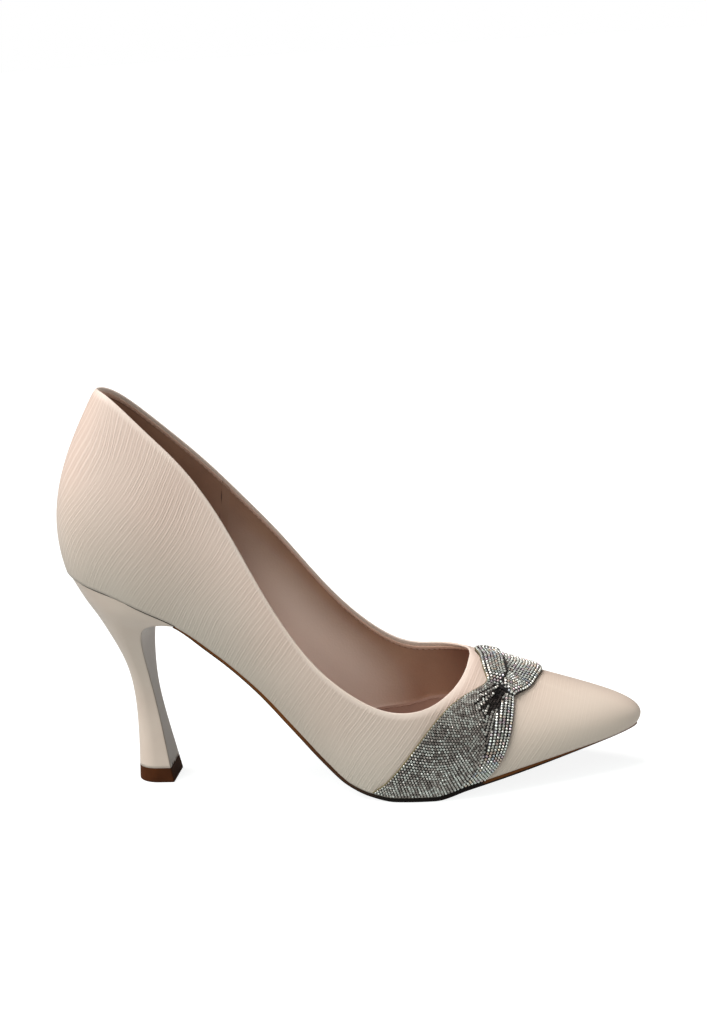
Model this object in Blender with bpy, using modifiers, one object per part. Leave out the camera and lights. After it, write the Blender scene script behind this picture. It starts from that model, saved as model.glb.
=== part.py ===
"""High heel pump, right foot: pointed toe, low cut throat, flared heel and a knotted crystal band.

The shoe points along +X, with its outer (lateral) side at -Y and the floor at Z = 0.
Sizes are in millimetres and become metres as each mesh is made.
"""

import math
from collections import namedtuple

import bmesh
import bpy
import numpy as np

MM = 0.001

# Driving sizes of the last
LENGTH = 226.0          # back of the heel to the tip of the toe, along the floor
BALL_WIDTH = 72.0       # across the sole at the ball
HEEL_HEIGHT = 87.0      # floor to the seat at the back
BACK_HEIGHT = 160.0     # floor to the topline at the back
TOE_SPRING = 17.0       # rise of the sole at the tip of the toe

# Materials' thicknesses and the clearance between pieces that meet
WALL = 1.6
SOLE = 2.0
INSOLE = 2.4
GAP = 0.3
SOLE_INSET = 0.4        # the sole's edge lies this far inside the upper's

# Where the heel ends and the outsole begins, in hundredths of LENGTH
BREAST = 21.2
TOP_LIFT = 6.0

# Mesh density
COLUMNS_PER_SECTION = 3
UPPER_ROWS = 13
SOLE_STATIONS = 34
HEEL_RINGS = 22
RING_SIDE = 14

# Bottom line: along in hundredths of LENGTH, heel_share of HEEL_HEIGHT, toe_share of TOE_SPRING
BottomRow = namedtuple("BottomRow", "along heel_share toe_share")
BOTTOM_LINE = [
    BottomRow(0.0, 1.006, 0.0),
    BottomRow(4.5, 0.966, 0.0),
    BottomRow(9.7, 0.922, 0.0),
    BottomRow(16.0, 0.844, 0.0),
    BottomRow(22.1, 0.761, 0.0),
    BottomRow(28.3, 0.635, 0.0),
    BottomRow(34.5, 0.481, 0.0),
    BottomRow(40.7, 0.300, 0.0),
    BottomRow(46.0, 0.154, 0.0),
    BottomRow(50.0, 0.065, 0.0),
    BottomRow(54.0, 0.020, 0.0),
    BottomRow(58.4, 0.0, 0.0),
    BottomRow(65.0, 0.0, 0.0),
    BottomRow(70.8, 0.0, 0.19),
    BottomRow(79.7, 0.0, 0.44),
    BottomRow(89.8, 0.0, 0.72),
    BottomRow(100.0, 0.0, 1.0),
]

# Sections round the last, from the back of the heel to the toe. The feather edge is where the upper meets
# the sole: along in hundredths of LENGTH, lateral and medial in hundredths of BALL_WIDTH off the centre.
# Each wall leaves the feather edge with its own flare (degrees outwards) and rise (mm of pull).
FeatherRow = namedtuple("FeatherRow", "place along lateral medial flare_lateral flare_medial rise")
FEATHER = [
    FeatherRow("back", 0.7, 0.0, 0.0, 14, 14, 28.0),
    FeatherRow("heel_corner", 2.9, 18.8, 18.8, 15, 15, 27.0),
    FeatherRow("heel_side", 8.0, 29.6, 29.6, 14, 14, 25.0),
    FeatherRow("seat", 15.0, 33.3, 32.6, 13, 13, 23.0),
    FeatherRow("breast", 22.1, 32.6, 29.2, 14, 20, 20.0),
    FeatherRow("rear_waist", 29.2, 31.0, 25.5, 16, 28, 18.0),
    FeatherRow("waist", 36.3, 31.4, 24.3, 16, 32, 16.0),
    FeatherRow("front_waist", 43.4, 35.8, 28.0, 14, 28, 14.0),
    FeatherRow("joint", 50.4, 43.0, 36.0, 12, 20, 13.0),
    FeatherRow("ball", 58.4, 48.6, 45.4, 9, 12, 12.0),
    FeatherRow("ball_front", 66.4, 47.6, 50.0, 8, 9, 12.0),
    FeatherRow("vamp", 74.3, 41.0, 47.0, 9, 9, 11.0),
    FeatherRow("toes", 82.3, 31.0, 39.4, 10, 10, 11.0),
    FeatherRow("toe_box", 89.8, 19.5, 29.0, 12, 12, 11.0),
    FeatherRow("toe_shoulder", 96.2, 8.4, 18.6, 17, 17, 11.0),
    FeatherRow("tip", 99.9, -5.5, 5.5, 25, 25, 11.0),
]

# The topline above each section: along in hundredths of LENGTH, lateral and medial in hundredths of
# BALL_WIDTH, heights in hundredths of BACK_HEIGHT. The wall comes up to it with a lean (degrees from
# upright) and fall (mm of pull).
ToplineRow = namedtuple("ToplineRow", "place along lateral medial height_lateral height_medial lean fall")
TOPLINE = [
    ToplineRow("back", 9.0, 0.0, 0.0, 100.0, 100.0, 30, 26.0),
    ToplineRow("heel_corner", 9.9, 7.0, 7.0, 99.8, 99.6, 28, 26.0),
    ToplineRow("heel_side", 13.1, 14.2, 14.2, 97.2, 96.4, 22, 24.0),
    ToplineRow("seat", 19.0, 22.5, 22.5, 89.9, 87.9, 15, 22.0),
    ToplineRow("breast", 25.2, 28.6, 28.6, 81.3, 78.6, 10, 18.0),
    ToplineRow("rear_waist", 31.4, 34.2, 34.2, 68.6, 68.1, 7, 16.0),
    ToplineRow("waist", 37.6, 39.7, 39.7, 51.9, 56.9, 6, 14.0),
    ToplineRow("front_waist", 44.2, 44.4, 44.4, 37.2, 44.1, 6, 11.0),
    ToplineRow("joint", 50.7, 47.9, 47.9, 28.3, 34.1, 7, 9.0),
    ToplineRow("ball", 57.5, 48.9, 48.9, 23.1, 28.0, 10, 9.0),
    ToplineRow("ball_front", 63.5, 44.9, 44.9, 22.5, 27.6, 22, 9.0),
    ToplineRow("vamp", 67.3, 33.3, 33.9, 24.1, 28.7, 42, 13.0),
    ToplineRow("toes", 69.5, 20.1, 22.2, 26.2, 29.6, 59, 22.0),
    ToplineRow("toe_box", 70.5, 8.3, 13.9, 28.0, 30.0, 67, 34.0),
    ToplineRow("toe_shoulder", 70.8, 0.7, 8.6, 29.2, 29.9, 70, 41.0),
    ToplineRow("tip", 70.9, -4.2, 4.2, 29.7, 29.7, 71, 45.0),
]

# The heel below its seat: the line of the back and of the breast, and half the width, in mm
HeelRow = namedtuple("HeelRow", "back back_height breast breast_height half_width")
HEEL = [
    HeelRow(8.4, 78.8, 43.4, 68.8, 21.5),
    HeelRow(12.9, 71.6, 37.0, 67.4, 18.3),
    HeelRow(16.8, 64.3, 33.6, 64.0, 15.4),
    HeelRow(20.2, 56.8, 32.6, 57.2, 12.0),
    HeelRow(23.0, 48.5, 32.9, 48.6, 8.4),
    HeelRow(24.7, 39.0, 33.8, 39.0, 5.9),
    HeelRow(25.3, 28.0, 35.4, 28.0, 5.5),
    HeelRow(25.1, 16.0, 37.3, 16.0, 6.9),
    HeelRow(24.6, TOP_LIFT + GAP, 38.9, TOP_LIFT + GAP, 8.4),
]
HEEL_FOOT = HeelRow(24.2, 0.0, 40.0, 0.0, 8.8)
ROUND_SHARE = 0.6       # share of a heel section's length that is its rounded back
SEAT_FADE = 2.0         # rows below the seat over which its own curve fades
HEEL_STEP = 1.1         # the seat's back lies this much further inside the upper's edge
HEEL_STEP_REACH = 22.0  # mm from the back over which that step fades
LIP_AT_BREAST = 0.5     # the heel's lip is as thick as the outsole behind and thins to this at the breast

# The crystal band lies on the upper's skin from the lateral sole edge, through the knot, to the medial sole
# edge. Its rear and front edges are given in the skin's own terms: around (sections) and share (feather
# edge to topline).
BandRow = namedtuple("BandRow", "place rear_around rear_share front_around front_share")
BAND = [
    BandRow("lateral_sole", 8.50, 0.005, 10.90, 0.005),
    BandRow("lateral_wall", 9.10, 0.29, 11.25, 0.15),
    BandRow("lateral_side", 9.80, 0.64, 11.60, 0.35),
    BandRow("lateral_vamp", 10.70, 0.87, 12.05, 0.56),
    BandRow("gather", 11.80, 0.89, 12.45, 0.685),
    BandRow("knot", 12.60, 0.885, 12.75, 0.725),
    BandRow("loops", 13.30, 0.94, 13.45, 0.745),
    BandRow("ridge", 15.00, 0.975, 14.80, 0.76),
    BandRow("medial_vamp", 16.80, 0.975, 16.20, 0.72),
    BandRow("medial_side", 18.00, 0.86, 17.50, 0.60),
    BandRow("medial_bulge", 19.80, 0.64, 18.40, 0.36),
    BandRow("medial_wall", 20.70, 0.34, 18.80, 0.16),
    BandRow("medial_sole", 21.30, 0.005, 19.00, 0.005),
]
KNOT_ROW = 5
BAND_BASE = 1.0         # thickness of the stone mesh
PLEAT_REACH = 2.2       # band rows from the knot over which the pleats flatten
PLEAT_START = (0.3, 2.0)    # band rows over which the pleats rise from the lateral sole edge
PLEAT_END = (4.7, 5.6)      # and over which they sink under the knot
MAIN_PLEAT = 1.0        # extra height of the lateral main pleat near the knot
SIDE_PLEAT = 1.1        # extra height of the narrow pleat in front of the fold
SIDE_FULLNESS = 0.7     # under 1 makes that pleat's back broad
FOLD = 0.79             # place of the fold across the lateral fan, rear edge to front edge
FOLD_DEPTH = 0.35
FOLD_WIDTH = 0.05
LOOP_START = (5.0, 5.8)     # band rows over which the two loops part beyond the knot
LOOP_LIFT = 1.0         # both loops stand this much further off the skin
LOOP_LIFT_END = (7.5, 9.5)      # band rows over which they come down to the medial sole edge
LOOP_STEP = 1.2         # the rear loop lies this much over the front loop near the knot
LOOP_STEP_LEFT = 0.5    # share of that step left at the medial sole edge
LOOP_SPLIT = (0.43, 0.30)       # across of the rear loop's edge near the knot and further on
LOOP_SPLIT_ROWS = (6.0, 7.5)    # band rows over which it draws back
LOOP_SLOPE = 0.05       # half the width of the slope at that edge, across the band
LOOP_ARCH = 0.3         # extra height along the middle of the loops
KNOT_REAR = 0.42        # across of the knot's rear end
KNOT_OVERHANG = 0.02    # the knot passes the band's front edge by this share of its width
KNOT_START = 5.12       # band row of the knot's lower edge at its rear end
KNOT_SLANT = 1.33       # band rows that edge comes down over a full width
KNOT_SPAN = 1.15        # length of the knot, in band rows
KNOT_LEAN = 0.6         # under 1 moves the knot's crest towards its lower edge
KNOT_RISE = 1.9
KNOT_EDGE = 0.5         # thickness of the knot at its rim
BAND_STEPS = (52, 17)
KNOT_STEPS = (13, 13)

COLOURS = {
    "upper": ((0.76, 0.65, 0.57), 0.5),
    "outsole": ((0.16, 0.08, 0.04), 0.5),
    "insole": ((0.66, 0.50, 0.44), 0.7),
    "heel": ((0.74, 0.64, 0.57), 0.35),
    "top_lift": ((0.14, 0.07, 0.04), 0.6),
    "crystal_band": ((0.45, 0.45, 0.46), 0.3),
    "knot": ((0.48, 0.48, 0.49), 0.3),
}


def clear_scene():
    for obj in list(bpy.data.objects):
        bpy.data.objects.remove(obj, do_unlink=True)


def monotone_curve(at, known, values):
    """Cubic through the known points that never overshoots, so level stretches stay level, and its slope."""
    at, known, values = (np.asarray(x, float) for x in (at, known, values))
    step = np.diff(known)
    secant = np.diff(values) / step
    slope = np.zeros(len(known))
    rising = secant[:-1] * secant[1:] > 0
    weight_a, weight_b = 2 * step[1:] + step[:-1], step[1:] + 2 * step[:-1]
    safe = np.where(rising, secant[:-1] * secant[1:], 1.0)
    mean = (weight_a + weight_b) * safe / (weight_a * np.where(rising, secant[1:], 1.0)
                                           + weight_b * np.where(rising, secant[:-1], 1.0))
    slope[1:-1] = np.where(rising, mean, 0.0)
    slope[0], slope[-1] = secant[0], secant[-1]
    i = np.clip(np.searchsorted(known, at, side="right") - 1, 0, len(step) - 1)
    t, h = (at - known[i]) / step[i], step[i]
    value = ((1 + 2 * t) * (1 - t) ** 2 * values[i] + t * (1 - t) ** 2 * h * slope[i]
             + t * t * (3 - 2 * t) * values[i + 1] + t * t * (t - 1) * h * slope[i + 1])
    grade = (6 * t * (t - 1) * (values[i] - values[i + 1]) / h
             + (1 - t) * (1 - 3 * t) * slope[i] + t * (3 * t - 2) * slope[i + 1])
    return value, grade


def closed_curve(rows, at):
    """Smooth closed curve through rows at 0, 1, 2 and so on; gives its points and its slopes."""
    rows = np.asarray(rows, float)
    count = len(rows)
    ahead, behind = np.roll(rows, -1, axis=0), np.roll(rows, 1, axis=0)
    unit = np.eye(count)
    system = 4 * unit + np.roll(unit, 1, axis=1) + np.roll(unit, -1, axis=1)
    slope = np.linalg.solve(system, 3 * (ahead - behind))
    i = np.floor(at).astype(int)
    t = (at - i)[:, None]
    a, b = i % count, (i + 1) % count
    points = ((1 + 2 * t) * (1 - t) ** 2 * rows[a] + t * (1 - t) ** 2 * slope[a]
              + t * t * (3 - 2 * t) * rows[b] + t * t * (t - 1) * slope[b])
    slopes = (6 * t * (t - 1) * (rows[a] - rows[b])
              + (1 - t) * (1 - 3 * t) * slope[a] + t * (3 * t - 2) * slope[b])
    return points, slopes


def open_curve(rows, at):
    """Smooth curve through rows at 0, 1, 2 and so on, straight at both ends."""
    rows = np.asarray(rows, float)
    count = len(rows)
    system = 4 * np.eye(count) + np.eye(count, k=1) + np.eye(count, k=-1)
    system[0, 0] = system[-1, -1] = 2
    pull = np.zeros_like(rows)
    pull[1:-1] = 3 * (rows[2:] - rows[:-2])
    pull[0], pull[-1] = 3 * (rows[1] - rows[0]), 3 * (rows[-1] - rows[-2])
    slope = np.linalg.solve(system, pull)
    i = np.clip(np.floor(at).astype(int), 0, count - 2)
    t = (at - i)[:, None]
    return ((1 + 2 * t) * (1 - t) ** 2 * rows[i] + t * (1 - t) ** 2 * slope[i]
            + t * t * (3 - 2 * t) * rows[i + 1] + t * t * (t - 1) * slope[i + 1])


def bottom_height(x):
    """Height and slope of the shoe's bottom line at x."""
    known = [row.along * LENGTH / 100 for row in BOTTOM_LINE]
    height = [row.heel_share * HEEL_HEIGHT + row.toe_share * TOE_SPRING for row in BOTTOM_LINE]
    return monotone_curve(np.clip(x, known[0], known[-1]), known, height)


def on_bottom(x, y, above):
    """Points at a given height square to the bottom line: a flat pattern bent to the shoe's arch."""
    height, grade = bottom_height(x)
    steep = np.hypot(1, grade)
    return np.stack([x - above * grade / steep, y, height + above / steep], axis=-1)


def round_the_last(rows, lateral, medial):
    """Rows for one way round: out along the lateral side, home along the medial side."""
    out = [lateral(row) for row in rows]
    home = [medial(row) for row in rows[-2:0:-1]]
    return np.array(out + home, float)


def feather_rows():
    scale, width = LENGTH / 100, BALL_WIDTH / 100
    return round_the_last(
        FEATHER,
        lambda r: (r.along * scale, -r.lateral * width, math.radians(r.flare_lateral), r.rise),
        lambda r: (r.along * scale, r.medial * width, math.radians(r.flare_medial), r.rise))


def topline_rows():
    scale, width, high = LENGTH / 100, BALL_WIDTH / 100, BACK_HEIGHT / 100
    return round_the_last(
        TOPLINE,
        lambda r: (r.along * scale, -r.lateral * width, r.height_lateral * high,
                   math.radians(r.lean), r.fall),
        lambda r: (r.along * scale, r.medial * width, r.height_medial * high,
                   math.radians(r.lean), r.fall))


def outward(slopes):
    """Level unit normals that point out of a loop run lateral side first."""
    normal = np.stack([slopes[:, 1], -slopes[:, 0], np.zeros(len(slopes))], axis=-1)
    return normal / np.linalg.norm(normal, axis=1, keepdims=True)


def upper_skin(around, share):
    """Outer skin of the upper at pairs (around, share): around counts sections, share is 0 at the feather
    edge and 1 at the topline. Each section is a cubic arc whose ends follow the wall's flare and lean."""
    around, share = np.asarray(around, float), np.asarray(share, float)
    feather, feather_slope = closed_curve(feather_rows(), around)
    top, top_slope = closed_curve(topline_rows(), around)
    up = np.array([0.0, 0.0, 1.0])
    flare, rise = feather[:, 2:3], feather[:, 3:4]
    lean, fall = top[:, 3:4], top[:, 4:5]
    start = on_bottom(feather[:, 0], feather[:, 1], SOLE + GAP)
    end = top[:, :3]
    start_pull = start + rise * (np.sin(flare) * outward(feather_slope) + np.cos(flare) * up)
    end_pull = end + fall * (np.sin(lean) * outward(top_slope) - np.cos(lean) * up)
    v = share[:, None]
    return ((1 - v) ** 3 * start + 3 * (1 - v) ** 2 * v * start_pull
            + 3 * (1 - v) * v * v * end_pull + v ** 3 * end)


def off_skin(around, share, height):
    """Points at a height square to the upper's outer skin."""
    reach = 0.01
    along = upper_skin(around + reach, share) - upper_skin(around - reach, share)
    rising = upper_skin(around, share + reach) - upper_skin(around, share - reach)
    normal = np.cross(along, rising)
    normal /= np.linalg.norm(normal, axis=1, keepdims=True)
    return upper_skin(around, share) + normal * np.asarray(height)[:, None]


def step_up(x, start, end):
    """0 before start, 1 after end, smooth between."""
    t = np.clip((x - start) / (end - start), 0, 1)
    return t * t * (3 - 2 * t)


def band_place(row, across):
    """Where on the skin a place of the band lies: row counts BAND rows, across runs rear to front edge."""
    edges = open_curve([entry[1:] for entry in BAND], row)
    around = edges[:, 0] + across * (edges[:, 2] - edges[:, 0])
    share = edges[:, 1] + across * (edges[:, 3] - edges[:, 1])
    return around, share


def band_height(row, across):
    """Top of the band over the skin: a main pleat, a fold and a narrow pleat on the lateral side,
    two loops that overlap on the medial side."""
    near = np.exp(-((row - KNOT_ROW) / PLEAT_REACH) ** 2)
    lateral = step_up(row, *PLEAT_START) * (1 - step_up(row, *PLEAT_END))
    main = MAIN_PLEAT * near * np.sin(math.pi * np.clip(across / FOLD, 0, 1))
    side = SIDE_PLEAT * np.sin(math.pi * np.clip((across - FOLD) / (1 - FOLD), 0, 1)) ** SIDE_FULLNESS
    crease = -FOLD_DEPTH * near * np.exp(-((across - FOLD) / FOLD_WIDTH) ** 2)
    medial = step_up(row, *LOOP_START)
    split = LOOP_SPLIT[0] + (LOOP_SPLIT[1] - LOOP_SPLIT[0]) * step_up(row, *LOOP_SPLIT_ROWS)
    rear_loop = 1 - step_up(across, split - LOOP_SLOPE, split + LOOP_SLOPE)
    step = LOOP_STEP * (LOOP_STEP_LEFT + (1 - LOOP_STEP_LEFT) * near)
    lift = LOOP_LIFT * (1 - step_up(row, *LOOP_LIFT_END))
    loops = lift + step * rear_loop + LOOP_ARCH * near * np.sin(math.pi * across)
    return GAP + BAND_BASE + lateral * (main + side + crease) + medial * loops


def section_count():
    return 2 * len(FEATHER) - 2


def material(name):
    colour, roughness = COLOURS[name]
    made = bpy.data.materials.new(name)
    made.use_nodes = True
    shader = made.node_tree.nodes["Principled BSDF"]
    shader.inputs["Base Color"].default_value = (*colour, 1)
    shader.inputs["Roughness"].default_value = roughness
    return made


def add_object(name, mesh, collection, parent):
    obj = bpy.data.objects.new(name, mesh)
    mesh.materials.append(material(name))
    mesh.shade_smooth()
    mesh.set_sharp_from_angle(angle=math.radians(40))
    collection.objects.link(obj)
    obj.parent = parent
    return obj


def mesh_from(name, points, faces):
    mesh = bpy.data.meshes.new(name)
    mesh.from_pydata((np.asarray(points) * MM).tolist(), [], [list(map(int, face)) for face in faces])
    mesh.update()
    return mesh


def make_upper(collection, parent):
    """The upper's outer skin as a sleeve round the last, given its wall inwards."""
    columns = section_count() * COLUMNS_PER_SECTION
    around = np.arange(columns) / COLUMNS_PER_SECTION
    share = np.linspace(0, 1, UPPER_ROWS)
    grid_around, grid_share = np.meshgrid(around, share, indexing="ij")
    points = upper_skin(grid_around.ravel(), grid_share.ravel())
    faces = []
    for column in range(columns):
        beside = (column + 1) % columns
        for row in range(UPPER_ROWS - 1):
            here, there = column * UPPER_ROWS + row, beside * UPPER_ROWS + row
            faces.append((here, there, there + 1, here + 1))
    obj = add_object("upper", mesh_from("upper", points, faces), collection, parent)
    wall = obj.modifiers.new("wall", "SOLIDIFY")
    wall.thickness = WALL * MM
    wall.offset = -1
    wall.use_even_offset = True
    return obj


def feather_outline(inset, per_section=4):
    """The feather edge seen from above, moved inwards."""
    around = np.arange(section_count() * per_section) / per_section
    feather, slope = closed_curve(feather_rows(), around)
    return feather[:, :2] - inset * outward(slope)[:, :2]


def make_slab(name, outline, back_end, low, high, collection, parent):
    """A sole: its flat outline is cut off at back_end, given a thickness, cut across at each station and
    bent to the bottom line."""
    shape = bmesh.new()
    corners = [shape.verts.new((x, y, low)) for x, y in outline]
    face = shape.faces.new(corners)
    if face.normal.z > 0:
        face.normal_flip()
    raised = bmesh.ops.extrude_face_region(shape, geom=[face])["geom"]
    for vert in raised:
        if isinstance(vert, bmesh.types.BMVert):
            vert.co.z = high
    bmesh.ops.recalc_face_normals(shape, faces=shape.faces)
    first, last = max(back_end, outline[:, 0].min()), outline[:, 0].max()
    stations = np.linspace(first, last, SOLE_STATIONS + 1)[:-1]
    for number, x in enumerate(stations):
        everything = shape.verts[:] + shape.edges[:] + shape.faces[:]
        cut_off = number == 0 and bool(back_end > outline[:, 0].min())
        bmesh.ops.bisect_plane(shape, geom=everything, dist=1e-5, plane_co=(x, 0, 0), plane_no=(1, 0, 0),
                               clear_inner=cut_off)
        if cut_off:
            rim = [edge for edge in shape.edges if edge.is_boundary]
            bmesh.ops.contextual_create(shape, geom=rim)
    bmesh.ops.recalc_face_normals(shape, faces=shape.faces)
    bmesh.ops.triangulate(shape, faces=shape.faces)
    flat = np.array([vert.co for vert in shape.verts])
    bent = on_bottom(flat[:, 0], flat[:, 1], flat[:, 2]) * MM
    for vert, place in zip(shape.verts, bent):
        vert.co = place
    mesh = bpy.data.meshes.new(name)
    shape.to_mesh(mesh)
    shape.free()
    return add_object(name, mesh, collection, parent)


def heel_ring(back, breast, half_width):
    """A heel section seen from above: flat breast, straight sides, rounded back, lateral side first."""
    long_radius = ROUND_SHARE * (breast - back)
    straight = RING_SIDE // 3
    along = np.linspace(breast, back + long_radius, straight, endpoint=False)
    turn = np.linspace(0, math.pi / 2, RING_SIDE - straight + 1)
    x = np.concatenate([along, back + long_radius * (1 - np.sin(turn))])
    y = np.concatenate([np.full(straight, half_width), half_width * np.cos(turn)])
    return np.concatenate([x, x[-2::-1]]), np.concatenate([-y, y[-2::-1]])


def heel_section(row):
    """A heel section in place: its plane rises from the breast to the back."""
    x, y = heel_ring(row.back, row.breast, row.half_width)
    share = (row.breast - x) / (row.breast - row.back)
    return np.stack([x, y, row.breast_height + share * (row.back_height - row.breast_height)], axis=-1)


def ladder_cap(first, count):
    """Faces across a ring, rung by rung, between its lateral and medial points."""
    last = first + count - 1
    half = count // 2
    rungs = [(first + k, first + k + 1, last - k - 1, last - k) for k in range(half - 1)]
    return rungs + [(first + half - 1, first + half, first + half + 1)]


def make_loft(name, rings, collection, parent):
    """A closed solid through rings of equal count, listed from top to bottom."""
    points = np.concatenate(rings)
    count = len(rings[0])
    faces = []
    for level in range(len(rings) - 1):
        for k in range(count):
            here, beside = level * count + k, level * count + (k + 1) % count
            faces.append((here, beside, beside + count, here + count))
    faces += [face[::-1] for face in ladder_cap(0, count)]
    faces += ladder_cap((len(rings) - 1) * count, count)
    shape = bmesh.new()
    mesh = mesh_from(name, points, faces)
    shape.from_mesh(mesh)
    bmesh.ops.recalc_face_normals(shape, faces=shape.faces)
    shape.to_mesh(mesh)
    shape.free()
    return add_object(name, mesh, collection, parent)


def seat_edges(x):
    """Lateral and medial edges of the heel's seat at x: the feather edge, moved inwards most at the back."""
    at_back = 1 - step_up(feather_outline(0.0)[:, :1], 0, HEEL_STEP_REACH)
    outline = feather_outline(SOLE_INSET + HEEL_STEP * at_back)
    toe = len(outline) // 2
    lateral, medial = outline[:toe + 1], np.concatenate([outline[:1], outline[:toe - 1:-1]])
    return np.interp(x, lateral[:, 0], lateral[:, 1]), np.interp(x, medial[:, 0], medial[:, 1])


def seat_ring(lip_share):
    """The heel's seat, from the lower edge of its lip (0) to the upper (1); it follows the feather edge."""
    back = FEATHER[0].along * LENGTH / 100 + SOLE_INSET + HEEL_STEP
    breast = BREAST * LENGTH / 100
    x, y = heel_ring(back, breast, 1.0)
    lateral, medial = seat_edges(x)
    y = np.where(np.arange(len(x)) <= len(x) // 2, lateral, medial)
    y[len(x) // 2] = 0.0
    lip = SOLE + (LIP_AT_BREAST - SOLE) * step_up(x, breast / 2, breast)
    return on_bottom(x, y, SOLE - lip * (1 - lip_share))


def make_heel(collection, parent):
    """Seat to top lift: a lip, then a flare to the stem. What the seat has beyond a plain heel section fades
    out over the first rows below it."""
    seat = seat_ring(0.0)
    middle = len(seat) // 2
    top = HeelRow(seat[middle, 0], seat[middle, 2], seat[0, 0], seat[0, 2], np.abs(seat[:, 1]).max())
    rows = [top, *HEEL]
    extra = seat - heel_section(top)
    rings = [seat_ring(1.0)]
    for level in np.linspace(0, len(rows) - 1, HEEL_RINGS):
        row = HeelRow(*open_curve(rows, np.array([level]))[0])
        fade = max(0.0, 1 - level / SEAT_FADE) ** 2
        rings.append(heel_section(row) + fade * extra)
    return make_loft("heel", rings, collection, parent)


def make_top_lift(collection, parent):
    """The worn-on tip of the heel, which goes on with the heel's flare to the floor."""
    top = HEEL[-1]._replace(back_height=TOP_LIFT, breast_height=TOP_LIFT)
    return make_loft("top_lift", [heel_section(top), heel_section(HEEL_FOOT)], collection, parent)


def make_patch(name, under, over, collection, parent):
    """A closed sheet between two grids of points."""
    rows, columns = under.shape[:2]
    points = np.concatenate([under.reshape(-1, 3), over.reshape(-1, 3)])
    lift = rows * columns
    faces = []
    for i in range(rows - 1):
        for j in range(columns - 1):
            a = i * columns + j
            quad = (a, a + 1, a + columns + 1, a + columns)
            faces += [quad, tuple(corner + lift for corner in quad[::-1])]
    rim = ([j for j in range(columns)] + [i * columns + columns - 1 for i in range(1, rows)]
           + [(rows - 1) * columns + j for j in range(columns - 2, -1, -1)]
           + [i * columns for i in range(rows - 2, 0, -1)])
    for here, beside in zip(rim, rim[1:] + rim[:1]):
        faces.append((beside, here, here + lift, beside + lift))
    mesh = mesh_from(name, points, faces)
    shape = bmesh.new()
    shape.from_mesh(mesh)
    bmesh.ops.recalc_face_normals(shape, faces=shape.faces)
    shape.to_mesh(mesh)
    shape.free()
    return add_object(name, mesh, collection, parent)


def flat_grid(firsts, seconds):
    """Two flat arrays that run over a grid."""
    first, second = np.meshgrid(firsts, seconds, indexing="ij")
    return first.ravel(), second.ravel()


def make_band(collection, parent):
    """The stone mesh: a strip on the upper, gathered at the knot and fanned out to both sole edges."""
    row, across = flat_grid(np.linspace(0, len(BAND) - 1, BAND_STEPS[0]), np.linspace(0, 1, BAND_STEPS[1]))
    around, share = band_place(row, across)
    under = off_skin(around, share, np.full(row.size, GAP)).reshape(*BAND_STEPS, 3)
    over = off_skin(around, share, band_height(row, across)).reshape(*BAND_STEPS, 3)
    return make_patch("crystal_band", under, over, collection, parent)


def make_knot(collection, parent):
    """The wrap over the band's narrowest place: it slants across the band, is rounded down to all its edges
    and is highest near its lower one."""
    front = 1 + KNOT_OVERHANG
    along, across = flat_grid(np.linspace(0, 1, KNOT_STEPS[0]), np.linspace(KNOT_REAR, front, KNOT_STEPS[1]))
    row = KNOT_START - KNOT_SLANT * (across - KNOT_REAR) + KNOT_SPAN * along
    around, share = band_place(row, across)
    floor = band_height(row, across) + GAP
    endways = np.abs(2 * across - KNOT_REAR - front) / (front - KNOT_REAR)
    rise = KNOT_EDGE + KNOT_RISE * np.sin(math.pi * along ** KNOT_LEAN) * (1 - endways ** 4)
    under = off_skin(around, share, floor).reshape(*KNOT_STEPS, 3)
    over = off_skin(around, share, floor + rise).reshape(*KNOT_STEPS, 3)
    return make_patch("knot", under, over, collection, parent)


def stand_on_origin(shoe):
    """Move the shoe so that the middle of its box stands over the origin."""
    corners = np.array([corner for piece in shoe.children for corner in piece.bound_box])
    middle = (corners.min(axis=0) + corners.max(axis=0)) / 2
    shoe.location = (-middle[0], -middle[1], 0)


def main():
    clear_scene()
    collection = bpy.data.collections.new("high_heel_pump")
    bpy.context.scene.collection.children.link(collection)
    shoe = bpy.data.objects.new("shoe", None)
    collection.objects.link(shoe)
    make_upper(collection, shoe)
    breast = BREAST * LENGTH / 100
    make_slab("outsole", feather_outline(SOLE_INSET), breast + GAP, 0.0, SOLE, collection, shoe)
    make_slab("insole", feather_outline(WALL + GAP), 0.0, SOLE + GAP, SOLE + GAP + INSOLE, collection, shoe)
    make_heel(collection, shoe)
    make_top_lift(collection, shoe)
    make_band(collection, shoe)
    make_knot(collection, shoe)
    stand_on_origin(shoe)


main()
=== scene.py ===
"""Looks of the high heel pump: embossed leather, lining, covered heel, brown sole and a band of cut stones.

Shapes are worked out in the shoe's own millimetres: +X to the toe, -Y the outer (lateral) side, Z = 0 the
floor. to_frame() moves them to the frame, in metres.
"""

import math
from collections import namedtuple
from functools import partial

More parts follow.
